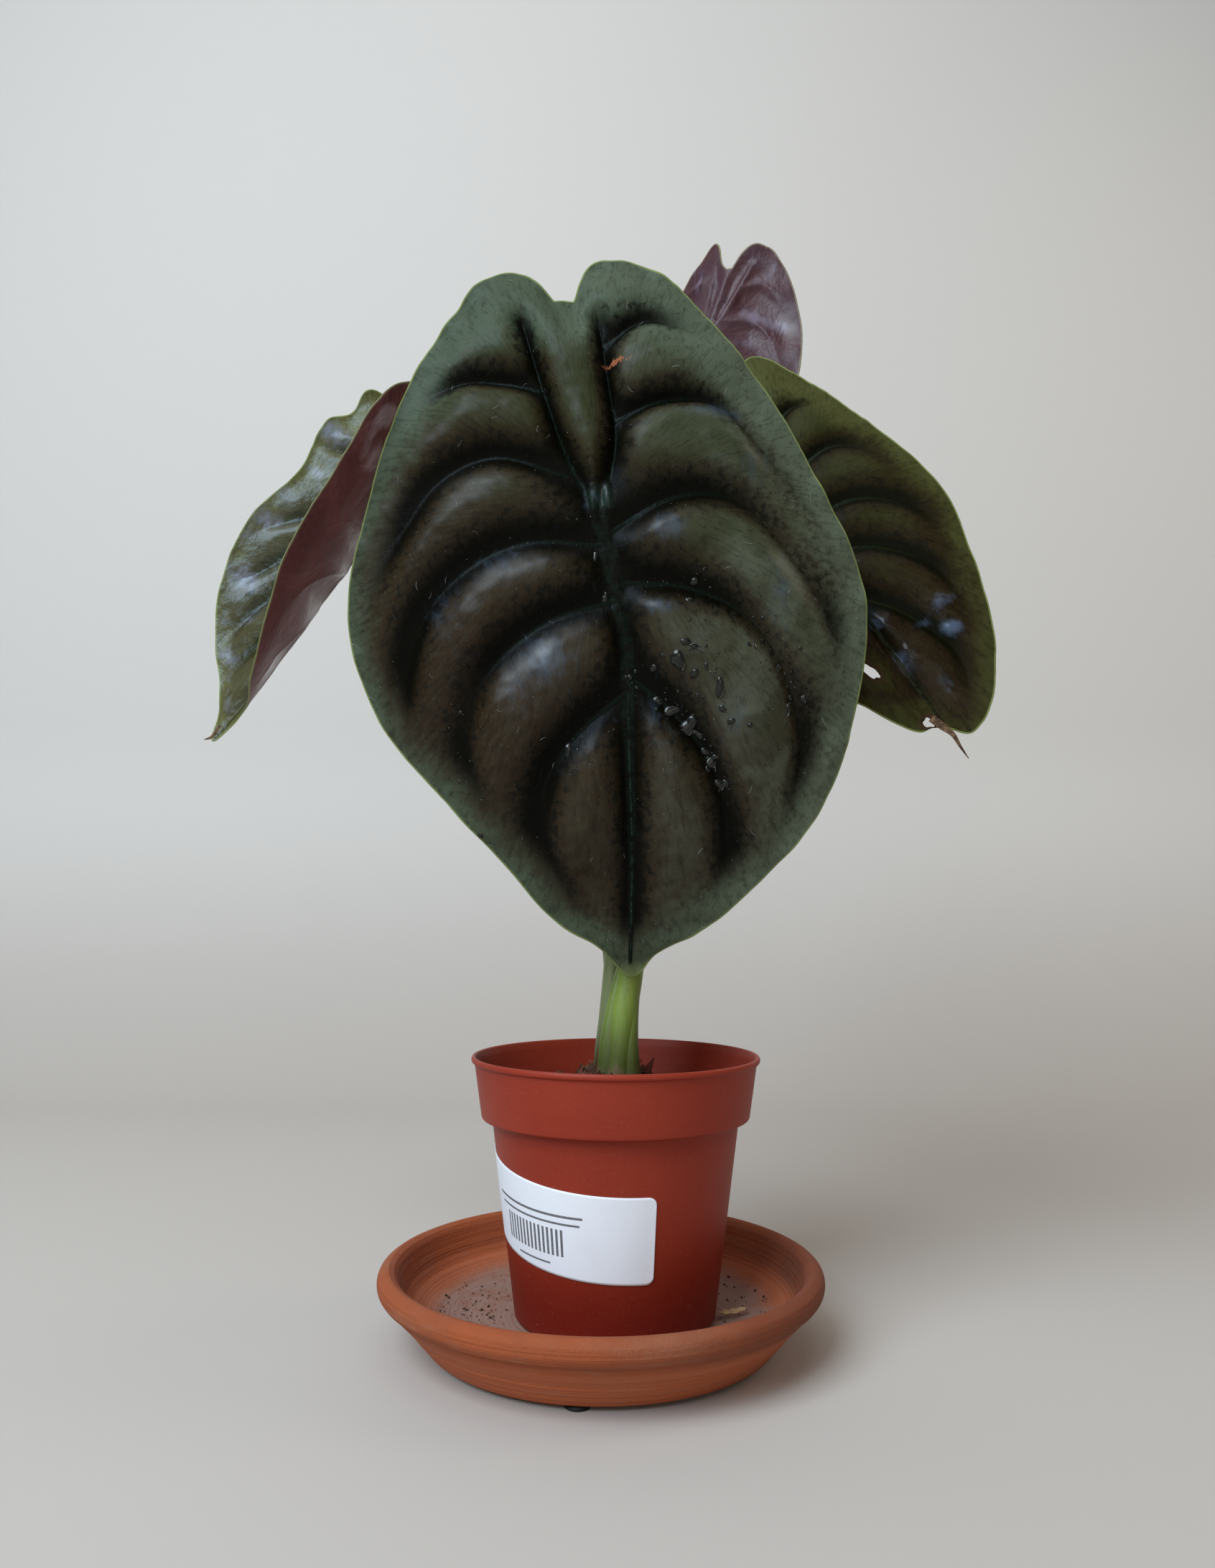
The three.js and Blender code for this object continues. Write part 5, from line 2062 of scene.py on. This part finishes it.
@dataclass
class Dew:
    """Water drops, dust and lint on a leaf.

    A patch is its middle along and right, its reach along and right, and how thick it is.
    """

    leaf: Leaf
    patches: Sequence[Spot] = (
        (55, 30, 8, 11, 1.0), (61, 9, 3, 4, 1.6), (69, 17, 3.5, 4, 2.2), (78, 25, 4, 3.5, 2.4),
        (88, 31, 5, 3, 2.0), (99, 35, 6, 2.5, 1.2), (64, 62, 12, 3.5, 1.5), (50, 52, 10, 6, 0.5),
        (31, 20, 2.5, 9, 1.4), (80, -12, 3, 4, 2.0), (12, 12, 6, 5, 0.35), (70, 40, 30, 26, 0.12),
        (98, -52, 22, 3, 0.7),
    )
    runs: Sequence[tuple[float, float, float, float]] = (
        (56.3, 21.8, 2.6, 1.9), (52.4, 27.2, 0.8, 1.5), (66.2, 35, 2.4, 1.3), (78.1, 24.4, 2.5, 2.0),
        (72.6, 18.9, 1.5, 1.9), (91, 31.3, 1.8, 1.2), (98.5, 33.9, 1.6, 1.3), (75.1, 58.2, 1.6, 0.9),
        (59, 30.8, 0.9, 0.7), (83.3, -16.4, 1.6, 1.0), (60.5, 56.2, 1.1, 0.8), (71.6, 64.7, 1.3, 0.7),
        (81.3, 27.8, 1.2, 0.9), (73, 35.6, 0.9, 1.1), (53.1, 47.8, 0.9, 0.6), (19.9, -3.2, 1.2, 0.7),
        (33.7, -0.8, 1.4, 0.7), (36.8, 26.9, 1.0, 0.9), (87, 29.4, 1.1, 1.0), (69, 14.5, 1.1, 1.2),
    )
    spread: float = 1.3
    water: Finish = Water("water")
    dust: Finish = Speckled("leaf_dust", light=(0.6, 0.6, 0.56), dark=(0.35, 0.35, 0.32), count=3000,
                            depth=0.00002, roughness=0.9)

    def build(self) -> None:
        """Strews the drops, the dust and the lint."""
        points, faces, flat = self.leaf.skin
        wet = spots(flat, self.patches)
        skin = new_mesh("front_skin", points, faces)
        hold(skin, "wet", np.where(wet > 0.05, wet, 0))
        for name, density, low, high, height, seed in (
            ("dew_large", 0.028, 0.55, 1.4, 0.45, 81), ("dew_fine", 0.09, 0.18, 0.5, 0.6, 82),
        ):
            drops = Strewn(name, density, low, high, height, 0.05, seed, thickness="wet", heap=Heap.SEATED)
            hand_over(drops.grow(skin.copy(), self.water.material()), "leaf_dark")
        self.build_runs(points, flat)
        specks = Strewn("leaf_specks", 0.011, 0.04, 0.12, 0.6, 0.03, 83, heap=Heap.SEATED, facets=1)
        hand_over(specks.grow(skin.copy(), self.dust.material()), "leaf_dark")
        lint = Strands("leaf_lint", 0.0022, 3.2, 0.035, 84, lean=((1.35, -0.1, 0), (1.5, 0.1, 6.28)))
        hand_over(lint.grow(skin, self.dust.material()), "leaf_dark")

    def build_runs(self, points: np.ndarray, flat: np.ndarray) -> None:
        """Builds the larger drops, which have run together and lie on the blade.

        Args:
            points: The blade's upper skin.
            flat: The same points in the flat.
        """
        sides, rings = 22, 6
        turn = np.linspace(0, 2 * math.pi, sides, endpoint=False)
        cloud, faces = [], []
        for number, (along, right, long, wide) in enumerate(self.runs):
            ragged = 1 + 0.2 * np.sin(2 * turn + number) + 0.12 * np.sin(3 * turn + 2.3 * number)
            long, wide = long * self.spread, wide * self.spread
            edge = np.stack([long * ragged * np.cos(turn), wide * ragged * np.sin(turn)], axis=1)
            rows, heights = [np.zeros((1, 2))], [np.ones(1)]
            for out in np.linspace(1 / rings, 1, rings):
                rows.append(out * edge)
                heights.append(np.full(sides, (1 - out * out) ** 0.6))
            offsets = np.vstack([*rows, rows[-1], [[0, 0]]])
            tall = 0.55 * min(long, wide)
            rise = np.concatenate([np.concatenate(heights) * tall - 0.05, np.full(sides + 1, -0.3)])
            near = np.hypot(flat[:, 0] - along, flat[:, 1] - right) < 4.5
            local = flat[near] - (along, right)
            fit, *_ = np.linalg.lstsq(self.terms(local), points[near], rcond=None)
            across = np.cross(fit[2], fit[1])
            across *= np.sign(across @ self.leaf.shape.axes()[2]) / np.linalg.norm(across)
            start = sum(len(part) for part in cloud)
            cloud.append(self.terms(offsets) @ fit + rise[:, None] * across)
            below = start + len(offsets) - 1
            for k in range(sides):
                after = (k + 1) % sides
                faces.append((start, start + 1 + after, start + 1 + k))
                faces.append((below, below - sides + k, below - sides + after))
                for ring in range(rings):
                    low, high = start + 1 + ring * sides, start + 1 + (ring + 1) * sides
                    faces.append((low + k, low + after, high + after, high + k))
        mesh = new_mesh("dew_runs", np.vstack(cloud), faces)
        hand_over(new_object(mesh, self.water.material()), "leaf_dark")

    @staticmethod
    def terms(local: np.ndarray) -> np.ndarray:
        """The terms of a second-order surface at flat places."""
        u, v = local.T
        return np.stack([np.ones(len(local)), u, v, u * u, u * v, v * v], axis=1)


@dataclass
class Stem:
    """A leaf stalk from the crown to the joint of its blade."""

    name: str
    node: str
    slot: str
    path: Sequence[Point]
    start: float
    end: float
    leaf: LeafShape
    skin: Finish
    sides: int = 40
    trim_reach = 12
    trim_gap = 1.1

    def build(self) -> None:
        """Sweeps the stalk along its path and trims it at the blade."""
        path = curve_through(self.path, 1.2)
        seedbed = new_mesh(self.name + "_path", path, [], [(i, i + 1) for i in range(len(path) - 1)])
        board = GrowthBoard(self.name + "_tree")
        start = board.named("Foot radius mm", self.start) * MM
        end = board.named("Head radius mm", self.end) * MM
        sides = board.named("Sides", self.sides)
        line = board.node("GeometryNodeMeshToCurve", None, {0: board.ground})
        factor = Wire(board, board.node("GeometryNodeSplineParameter").outputs["Factor"])
        marked = board.node("GeometryNodeStoreNamedAttribute", {"data_type": "FLOAT", "domain": "POINT"},
                            {"Geometry": line.outputs[0], "Name": "along", "Value": factor})
        ring = board.node("GeometryNodeCurvePrimitiveCircle", None, {"Resolution": sides, "Radius": 1.0})
        girth = start + (end - start) * (factor * 1.15).least(1)
        tube = board.node("GeometryNodeCurveToMesh", None, {
            "Curve": marked.outputs[0], "Profile Curve": ring.outputs[0], "Scale": girth, "Fill Caps": True})
        board.close(tube.outputs[0], self.skin.material())
        stalk = board.grow(self.name, seedbed)
        self.trim(stalk.data)
        hand_over(stalk, self.slot, self.node)

    def trim(self, mesh: Mesh) -> None:
        """Lets no point pass through the blade at the joint.

        Args:
            mesh: The stalk, in the frame.
        """
        _, _, up = self.leaf.axes()
        joint = bench_metres(np.array(self.leaf.at))
        points = np.zeros(len(mesh.vertices) * 3)
        mesh.vertices.foreach_get("co", points)
        points = points.reshape(-1, 3)
        near = np.linalg.norm(points - joint, axis=1) < self.trim_reach * MM
        past = np.maximum((points - joint) @ up + self.trim_gap * MM, 0) * near
        points -= past[:, None] * up
        mesh.vertices.foreach_set("co", points.ravel())
        mesh.update()


FRONT_OUTLINE = (
    (-171, 73.3), (-166, 85.2), (-158, 90.1), (-145, 84.1), (-130, 80), (-110, 78.4), (-90, 83.5),
    (-70, 97.3), (-50, 107.6), (-30, 116.7), (-18, 129.2), (-9, 146.5), (-3.5, 154.8), (0, 165.5),
    (3.5, 157.2), (9, 152.7), (18, 142.7), (30, 132.8), (48, 114.3), (68, 98.2), (90, 77.8), (110, 70.1),
    (130, 70.2), (148, 75.5), (162, 83.7), (172, 87.7), (180, 84.4), (184, 72),
)
RIGHT_OUTLINE = (
    (-178, 66), (-172, 76), (-163, 83), (-150, 81), (-125, 75), (-95, 78), (-65, 95), (-40, 111.9),
    (-20, 117), (-14, 123.3), (-9, 136.2), (-5.5, 143.4), (-2.5, 143.2), (0, 146), (2.6, 153.3), (6, 152.4),
    (10.5, 146.4), (20, 129.9), (40, 100.5), (65, 82.3), (95, 67.5), (125, 68), (150, 86), (163, 99.5),
    (172, 80), (178, 65.3),
)
LEFT_OUTLINE = (
    (-178, 56.1), (-171, 58), (-160, 70), (-151, 83), (-147.5, 99), (-145.5, 101.5), (-139, 102),
    (-134, 91), (-123, 87.5), (-116, 81), (-102, 69), (-80, 73), (-65, 81), (-53, 89), (-40, 99.9),
    (-20, 120.3), (-9, 133.5), (-4.5, 142), (-2, 150), (0, 158.6), (2, 149), (4.5, 140), (8, 134), (20, 127),
    (40, 111), (51, 104.5), (72, 94), (94, 93.3), (110, 103), (116.5, 107), (125, 105), (145, 93), (160, 86),
    (171, 74), (178, 62),
)
BACK_OUTLINE = (
    (-178, 60), (-172, 80.8), (-163, 86.7), (-150, 82.7), (-125, 76.5), (-95, 80.3), (-65, 94), (-40, 109.9),
    (-20, 130), (-8, 147), (0, 160), (8, 147), (20, 130), (40, 111), (65, 96), (95, 78.3), (125, 71.5),
    (150, 84.3), (163, 90.3), (172, 65.7), (178, 59.5),
)
FRONT_VEINS = (
    ((6, -1), (24, 2), (50, 5), (81, 4), (117, 3), (160, 0)),
    ((6, -1), (-13, -10), (-38, -17), (-64, -23)),
    ((6, -1), (-18, 6), (-40, 5), (-64, 3)),
    ((-38, -17), (-44, -40), (-41, -57)),
    ((-8, -11), (-16, -35), (-10, -54), (6, -69)),
    ((16, -2), (14, -26), (21, -46), (37, -63), (68, -74)),
    ((35, 2), (41, -21), (58, -43), (81, -51), (100, -50)),
    ((66, 4), (75, -9), (91, -23), (114, -28), (131, -23)),
    ((-53, 4), (-62, 19), (-59, 35)),
    ((-26, 6), (-32, 23), (-30, 42), (-9, 60)),
    ((12, 2), (1, 27), (4, 46), (22, 63), (37, 72)),
    ((29, 4), (32, 26), (41, 44), (57, 56), (86, 63), (105, 60)),
    ((60, 5), (74, 20), (93, 32), (110, 35), (128, 35)),
)
HALF_VEINS = (
    ((6, 0), (-20, 9), (-45, 14), (-64, 18)),
    ((-45, 14), (-52, 30), (-47, 46)),
    ((-14, 8), (-20, 34), (-10, 52), (8, 66)),
    ((14, 1), (14, 30), (31, 54), (62, 67)),
    ((34, 1), (44, 26), (67, 45), (98, 49)),
    ((62, 1), (83, 18), (113, 28), (130, 24)),
)


def even_veins() -> tuple[Sequence[FlatPoint], ...]:
    """The middle rib and the same veins on both sides of it.

    Returns:
        The lines, the middle rib first.
    """
    spine = ((-64, 0), (0, 0), (60, 0), (110, 0), (160, 0))
    mirrored = tuple(tuple((a, -b) for a, b in line) for line in HALF_VEINS)
    return (spine, HALF_VEINS[0], mirrored[0], *HALF_VEINS[1:], *mirrored[1:])


@dataclass
class Plant:
    """The four leaves on their stalks."""

    front: LeafShape = field(default_factory=lambda: LeafShape(
        FRONT_OUTLINE, FRONT_VEINS, scale=1, half=85, at=(-0.9, -52, 287), tip=(0.068, 0.03, -0.997),
        up=(0, -1, 0), rise=(0.1, 0.1), curl=(0.45, 0.45), soft=6, droop=0.35, lobes=0.3, relief=7.4,
        groove=0.45, rib_half=(3.2, 0.65), widths=(7.0, 7.0, 11.5), dull=0.5, sheen=(
            (13, 22, 5, 6, 1.4), (-26.7, 39, 4, 10, 1.2), (-8, 51, 7, 8, 0.8), (39, 17, 3, 7, 1.2),
            (57, 28, 9, 10, 0.4), (36, 58, 14, 5, 0.7), (78, 41, 12, 8, 0.6), (72.3, 12.3, 5, 3, 0.8),
            (52.7, -21.5, 7, 8, 1.2), (20.6, -34.5, 5, 12, 0.8), (63.4, -29.7, 8, 8, 0.6),
            (-8.4, -43, 4, 10, 0.3), (36, -56, 10, 6, 0.6), (1, -3.2, 3, 3.5, 1.2), (77, -9.3, 5, 5, 0.5),
            (85, 17, 10, 4, 0.5)),
        clear=((-20, 55, 22, 20, 0.5), (30, 62, 30, 18, 0.6), (80, 48, 30, 16, 0.55), (70, -45, 20, 12, 0.3)),
        bulges=(
            (12.6, 18.4, 6.5, 6, 2.0), (37.5, 15.6, 4, 7, 1.3), (-45, -34, 8, 9, -1.2), (22, 33, 5, 8, -1.3),
            (30, 52, 12, 7, 0.9), (52, 22, 7, 6, 1.0), (72, -40, 9, 5, 0.8), (45, -42, 8, 6, 0.7),
            (105, -12, 12, 4, 0.7))))
    right: LeafShape = field(default_factory=lambda: LeafShape(
        RIGHT_OUTLINE, even_veins(), scale=0.7165, half=60.8, at=(71.8, 1.4, 305.4),
        tip=(0.428, -0.198, -0.882), up=(-0.023, -0.978, 0.209), rise=(0.229, 0.183), curl=(0.35, 0.25),
        soft=5, droop=0.12, lobes=0.2,
        relief=3.4, sway=10.7, groove=0.35, rib_half=(2.0, 0.8), widths=(6.0, 7.5, 11.0),
        bulges=((61.5, 26, 3, 4.5, 1.4), (72.5, 23.7, 3, 3.5, 1.4), (60, 4, 5, 5, 1.4), (76, 3, 5, 5, 1.4)),
        dull=0.2, sheen=((61.3, 26.5, 3.2, 6, 1.5), (72.6, 23.7, 3.6, 4.5, 1.9), (66, 17, 2.5, 5, 1.1),
                          (58.7, 3, 4.5, 6, 1.2), (76.3, 2, 7, 5, 1.2), (90, 10, 7, 5, 0.8)),
        holes=((74.7, -12, 3.6, 1.7, 0.3), (100.2, -4.6, 1.9, 2.1, 0))))
    left: LeafShape = field(default_factory=lambda: LeafShape(
        LEFT_OUTLINE, even_veins(), scale=0.634, half=53.2, at=(-90.2, 2.2, 295.5),
        tip=(-0.552, -0.068, -0.831), up=(-0.134, -0.976, 0.169), rise=(-0.585, 0.844),
        curl=(-1.316, -1.048), soft=3, droop=0.05, lobes=0.2, relief=3.6, ridge=17, groove=0.25,
        rib_half=(1.8, 0.7), bulges=(
            (62, 20, 4, 12, 1.3), (48, 22, 4, 12, -1.3), (37, 25, 4, 13, 1.5), (22, 28, 4, 13, -1.5),
            (9, 32, 4, 14, 1.5), (-6, 36, 4, 13, -1.3), (-18, 42, 4, 12, 1.2)),
        dull=0.2, sheen=(
            (-26.6, -41.6, 6, 9, 1.5), (-9.4, -37.4, 3.5, 9, 1.4), (4, -43, 4, 6, 1.0), (17, -40, 6, 8, 1.3),
            (30, -45, 12, 4, 0.9), (42, -34, 6, 9, 1.5), (70.7, -20, 4, 9, 1.3), (60, -30, 6, 6, 0.9),
            (86, -4, 5, 4, 1.2), (54, -20, 4, 4, 0.8), (78, -12, 4, 6, 0.9), (-36, -46, 3, 4, 1.0),
            (41.7, 14, 7, 16, 1.3), (23, 22, 3, 14, 1.2), (12, 26, 5, 14, 1.4), (65.5, 16, 8, 14, 1.2),
            (-9, 47, 7, 7, 1.5), (-22, 55, 6, 5, 1.4))))
    back: LeafShape = field(default_factory=lambda: LeafShape(
        BACK_OUTLINE, even_veins(), scale=0.534, half=45.3, at=(43.1, 44.4, 396.4),
        tip=(-0.359, -0.019, -0.933), up=(0.473, 0.859, -0.199), rise=(0.518, 0.523), curl=(0.3, 0.3),
        soft=5, droop=0.3, lobes=0.3, relief=1.8, groove=0.0, rib_half=(5.2, 1.6), widths=(6.0, 7.5, 11.0),
        dull=0.3, sheen=(
            (-13, -18, 4, 10, 1.3), (-12, -32, 3.5, 7, 1.1), (-29, -15, 5, 6, 0.9), (-29, 17, 5, 6, 1.0),
            (-16, -3.5, 9, 2, 0.8), (-2, -15, 3, 8, 0.7), (-36, -21, 3, 4, 0.6))))

    def build(self) -> None:
        """Builds the stalks, then the blades."""
        bright = StemSkin("stem_bright", green=(0.21, 0.3, 0.042), shade=(0.13, 0.19, 0.028))
        dull = StemSkin("stem_dull", green=(0.24, 0.28, 0.12), shade=(0.15, 0.18, 0.075),
                        head=(0.12, 0.1, 0.05))
        stems = (
            Stem("stalk_front", "stem_front", "stem_bright", (
                (5.4, -5, 70), (5.6, -4.8, 92), (7, -4.2, 110), (9.8, -3, 126), (13, -1, 160), (12.5, 2, 205),
                (7, -16, 252), (1, -40, 280), (-0.9, -52, 287)), 5.5, 3.0, self.front, bright),
            Stem("stalk_back", "stem_back", "stem_dull", (
                (0, 4, 70), (0.4, 4.2, 95), (2, 4.4, 110), (3.4, 5, 126), (8, 10, 180), (22, 24, 270),
                (37, 38, 360), (43.1, 44.4, 396.4)), 3.6, 2.0, self.back, dull),
            Stem("stalk_right", "stem_right", "stem_dull", (
                (8.8, 5.4, 70), (9.2, 5.8, 100), (11.4, 7.4, 130), (22, 11, 180), (44, 14, 245), (66, 9, 297),
                (71.8, 1.4, 305.4)), 3.7, 2.2, self.right, dull),
            Stem("stalk_left", "stem_left", "stem_dull", (
                (3.4, 11.6, 70), (3.5, 11.8, 100), (3.6, 12.4, 128), (0.5, 14, 148), (-14, 15, 185),
                (-46, 15, 245), (-76, 12, 285), (-90.2, 2.2, 295.5)), 3.5, 2.1, self.left, dull),
        )
        for stem in stems:
            stem.build()
        # Each leaf finish below sets the colour and share of its painted sheen; the pale colours of the upper
        # finishes are painted sheen over their right halves.
        maroon = LeafUnder("leaf_under")
        dusky = LeafUnder("leaf_under_dusky", body=(0.062, 0.022, 0.026), dusk=(0.048, 0.02, 0.03),
                          rib=(0.08, 0.042, 0.05), coat=0.3, coat_rough=0.3, rib_share=0.4,
                          bloom_and_painted_sheen=(0.15, 0.12, 0.165), painted_sheen_share=0.75)
        ruddy = LeafUnder("leaf_under_ruddy", body=(0.13, 0.042, 0.042), dusk=(0.085, 0.026, 0.028), coat=0.5,
                          coat_rough=0.22, bloom_and_painted_sheen=(0.26, 0.18, 0.2), painted_sheen_share=0.75)
        dark = LeafTop("leaf_top_dark")
        olive = LeafTop("leaf_top_olive", margin=(0.062, 0.064, 0.017), far_margin=(0.035, 0.034, 0.009),
                        cushion=(0.028, 0.029, 0.007), bronze=(0.0175, 0.0085, 0.0035),
                        fleck=(0.055, 0.055, 0.018), pale=(0.05, 0.05, 0.015),
                        valley=(0.004, 0.004, 0.0012), rib=(0.01, 0.014, 0.004), joint=(0.06, 0.08, 0.03),
                        scar_at=(0.2, 0), margin_width=12, margin_lean=0, warm_lean=0.1, warm_start=0.0,
                        warm_end=0.06, hollow_start=0.4, gloss=0.5, coat=0.4, bloom_and_painted_sheen=(0.08, 0.112, 0.175),
                        painted_sheen_share=0.7, coat_at_base=0.0, coat_rough=0.1, specular=0.05)
        glossy = LeafTop("leaf_top_glossy", margin=(0.1, 0.098, 0.03), far_margin=(0.095, 0.09, 0.03),
                         cushion=(0.07, 0.068, 0.021), bronze=(0.06, 0.052, 0.02), fleck=(0.1, 0.1, 0.04),
                         valley=(0.024, 0.024, 0.007), rib=(0.035, 0.04, 0.012), pale=(0.09, 0.09, 0.03),
                         joint=(0.06, 0.08, 0.03), scar_at=(0.2, 0), margin_width=9, margin_lean=0,
                         warm_lean=0, warm_start=-0.01, warm_end=0.055, hollow_start=0.5, gloss=0.32,
                         coat=0.3, coat_at_base=1.0, coat_rough=0.14, specular=0.28, glint=(0.62, 0.8, 1.0),
                         dents=0.003, bloom_and_painted_sheen=(0.17, 0.185, 0.25), painted_sheen_share=0.8)
        leaves = (
            Leaf("blade_front", "leaf_front", "leaf_dark", self.front, dark, maroon, seed=41),
            Leaf("blade_right", "leaf_right", "leaf_olive", self.right, olive, maroon, seed=51),
            Leaf("blade_left", "leaf_left", "leaf_maroon", self.left, glossy, ruddy, under_rib=0.4,
                 under_vein=0.35, seed=61),
            Leaf("blade_back", "leaf_back", "leaf_maroon", self.back, olive, dusky, under_rib=0.2, seed=71),
        )
        for leaf in leaves:
            leaf.build()
        Dew(leaves[0]).build()
        for tip in (
            WitheredTip("right_tip", "leaf_olive", self.right, (
                (99, -2.4, 0), (103, -1.6, 1.2), (108, -1.2, 3.2), (113, -1.8, 3.2), (118, -1.2, 1.0)),
                (1.6, 1.5, 0.9, 0.5, 0.15)),
            WitheredTip("left_tip", "leaf_maroon", self.left, (
                (94, -0.8, 0.2), (97, -0.8, 0.3), (99.6, -1.4, 0.4), (101.6, -3.4, 0.6)),
                (0.9, 0.8, 0.55, 0.15)),
        ):
            tip.build()


# The studio

@dataclass
class Studio:
    """The camera, the lights and the plain pale floor."""

    eye: Point = (1.6, -415.5, 149.8)
    pitch: float = 6.41
    roll: float = 0.2
    focal_pixels: float = 1564
    frame_height: float = 2184
    sensor: float = 36

    def build(self) -> None:
        """Builds the stage."""
        self.build_camera()
        self.build_floor()
        self.build_lights()
        bpy.context.scene.view_settings.view_transform = "Standard"

    def build_camera(self) -> None:
        """Sets the camera where the photograph was taken."""
        data = bpy.data.cameras.new("camera")
        data.sensor_width = self.sensor
        data.lens = self.focal_pixels / self.frame_height * self.sensor
        camera = bpy.data.objects.new("camera", data)
        turn = Euler((math.radians(90 + self.pitch), 0, 0)).to_matrix()
        turn = turn @ Matrix.Rotation(math.radians(self.roll), 3, "Z")
        camera.matrix_world = Matrix.Translation(axis_in_frame(*self.eye)) @ turn.to_4x4()
        bpy.context.scene.collection.objects.link(camera)
        bpy.context.scene.camera = camera

    def build_floor(self) -> None:
        """Bends a wide sheet from the floor up to a backdrop."""
        board = FinishBoard("pale_stage")
        place = board.own_place()
        mist = board.grain(place, 3, 2)
        _, _, height = board.apart(place)
        shelf = board.over(mist * 0.2, (0.52, 0.475, 0.435), (0.48, 0.44, 0.405))
        wall = board.over(mist * 0.2, (0.68, 0.65, 0.615), (0.64, 0.61, 0.575))
        material = board.surface({
            "Base Color": board.over(board.between(height, 0.01, 0.3), shelf, wall), "Roughness": 0.75,
            "Specular IOR Level": 0.1})
        front, bend, depth, height, half = -3000, 350, 800, 2400, 3200
        profile = [(front, 0)]
        profile += [(depth - bend + bend * math.sin(t), bend - bend * math.cos(t))
                    for t in np.linspace(0, math.pi / 2, 24)]
        profile.append((depth, height))
        points = [(x, y, z) for y, z in profile for x in (-half, half)]
        faces = [(2 * i, 2 * i + 1, 2 * i + 3, 2 * i + 2) for i in range(len(profile) - 1)]
        stage = new_object(new_mesh("stage_floor", np.asarray(points), faces), material)

    def build_lights(self) -> None:
        """Hangs a cool window at the left and weak warm light at the right."""
        for name, place, size, power, colour in (
            ("window", (-760, -980, 1180), (1000, 1000), 32, (0.75, 0.885, 1.0)),
            ("ceiling", (-200, -300, 1700), (1500, 1500), 7, (1.0, 0.99, 0.97)),
            ("room", (100, -1700, 250), (1600, 1200), 7, (1.0, 0.9, 0.78)),
            ("lamp", (1150, 150, 900), (500, 500), 2.2, (1.0, 0.82, 0.62)),
        ):
            data = bpy.data.lights.new(name, "AREA")
            data.shape = "RECTANGLE"
            data.size, data.size_y = size[0] * MM, size[1] * MM
            data.energy = power
            data.color = colour
            lamp = bpy.data.objects.new(name, data)
            lamp.location = axis_in_frame(*place)
            aim = Vector(axis_in_frame(0, 0, 230)) - lamp.location
            lamp.rotation_euler = aim.to_track_quat("-Z", "Y").to_euler()
            bpy.context.scene.collection.objects.link(lamp)
        world = bpy.data.worlds.new("soft_room")
        world.use_nodes = True
        ambient = world.node_tree.nodes["Background"]
        ambient.inputs["Color"].default_value = (0.8, 0.82, 0.85, 1)
        ambient.inputs["Strength"].default_value = 0.12
        bpy.context.scene.world = world


def main() -> None:
    """Builds the scene."""
    logging.basicConfig(level=logging.INFO, format="%(name)s: %(message)s")
    for part in (Studio(), Saucer(), Pot(), Soil(), Crown(), Plant()):
        part.build()
        LOG.info("built %s", type(part).__name__)


if __name__ == "__main__":
    main()
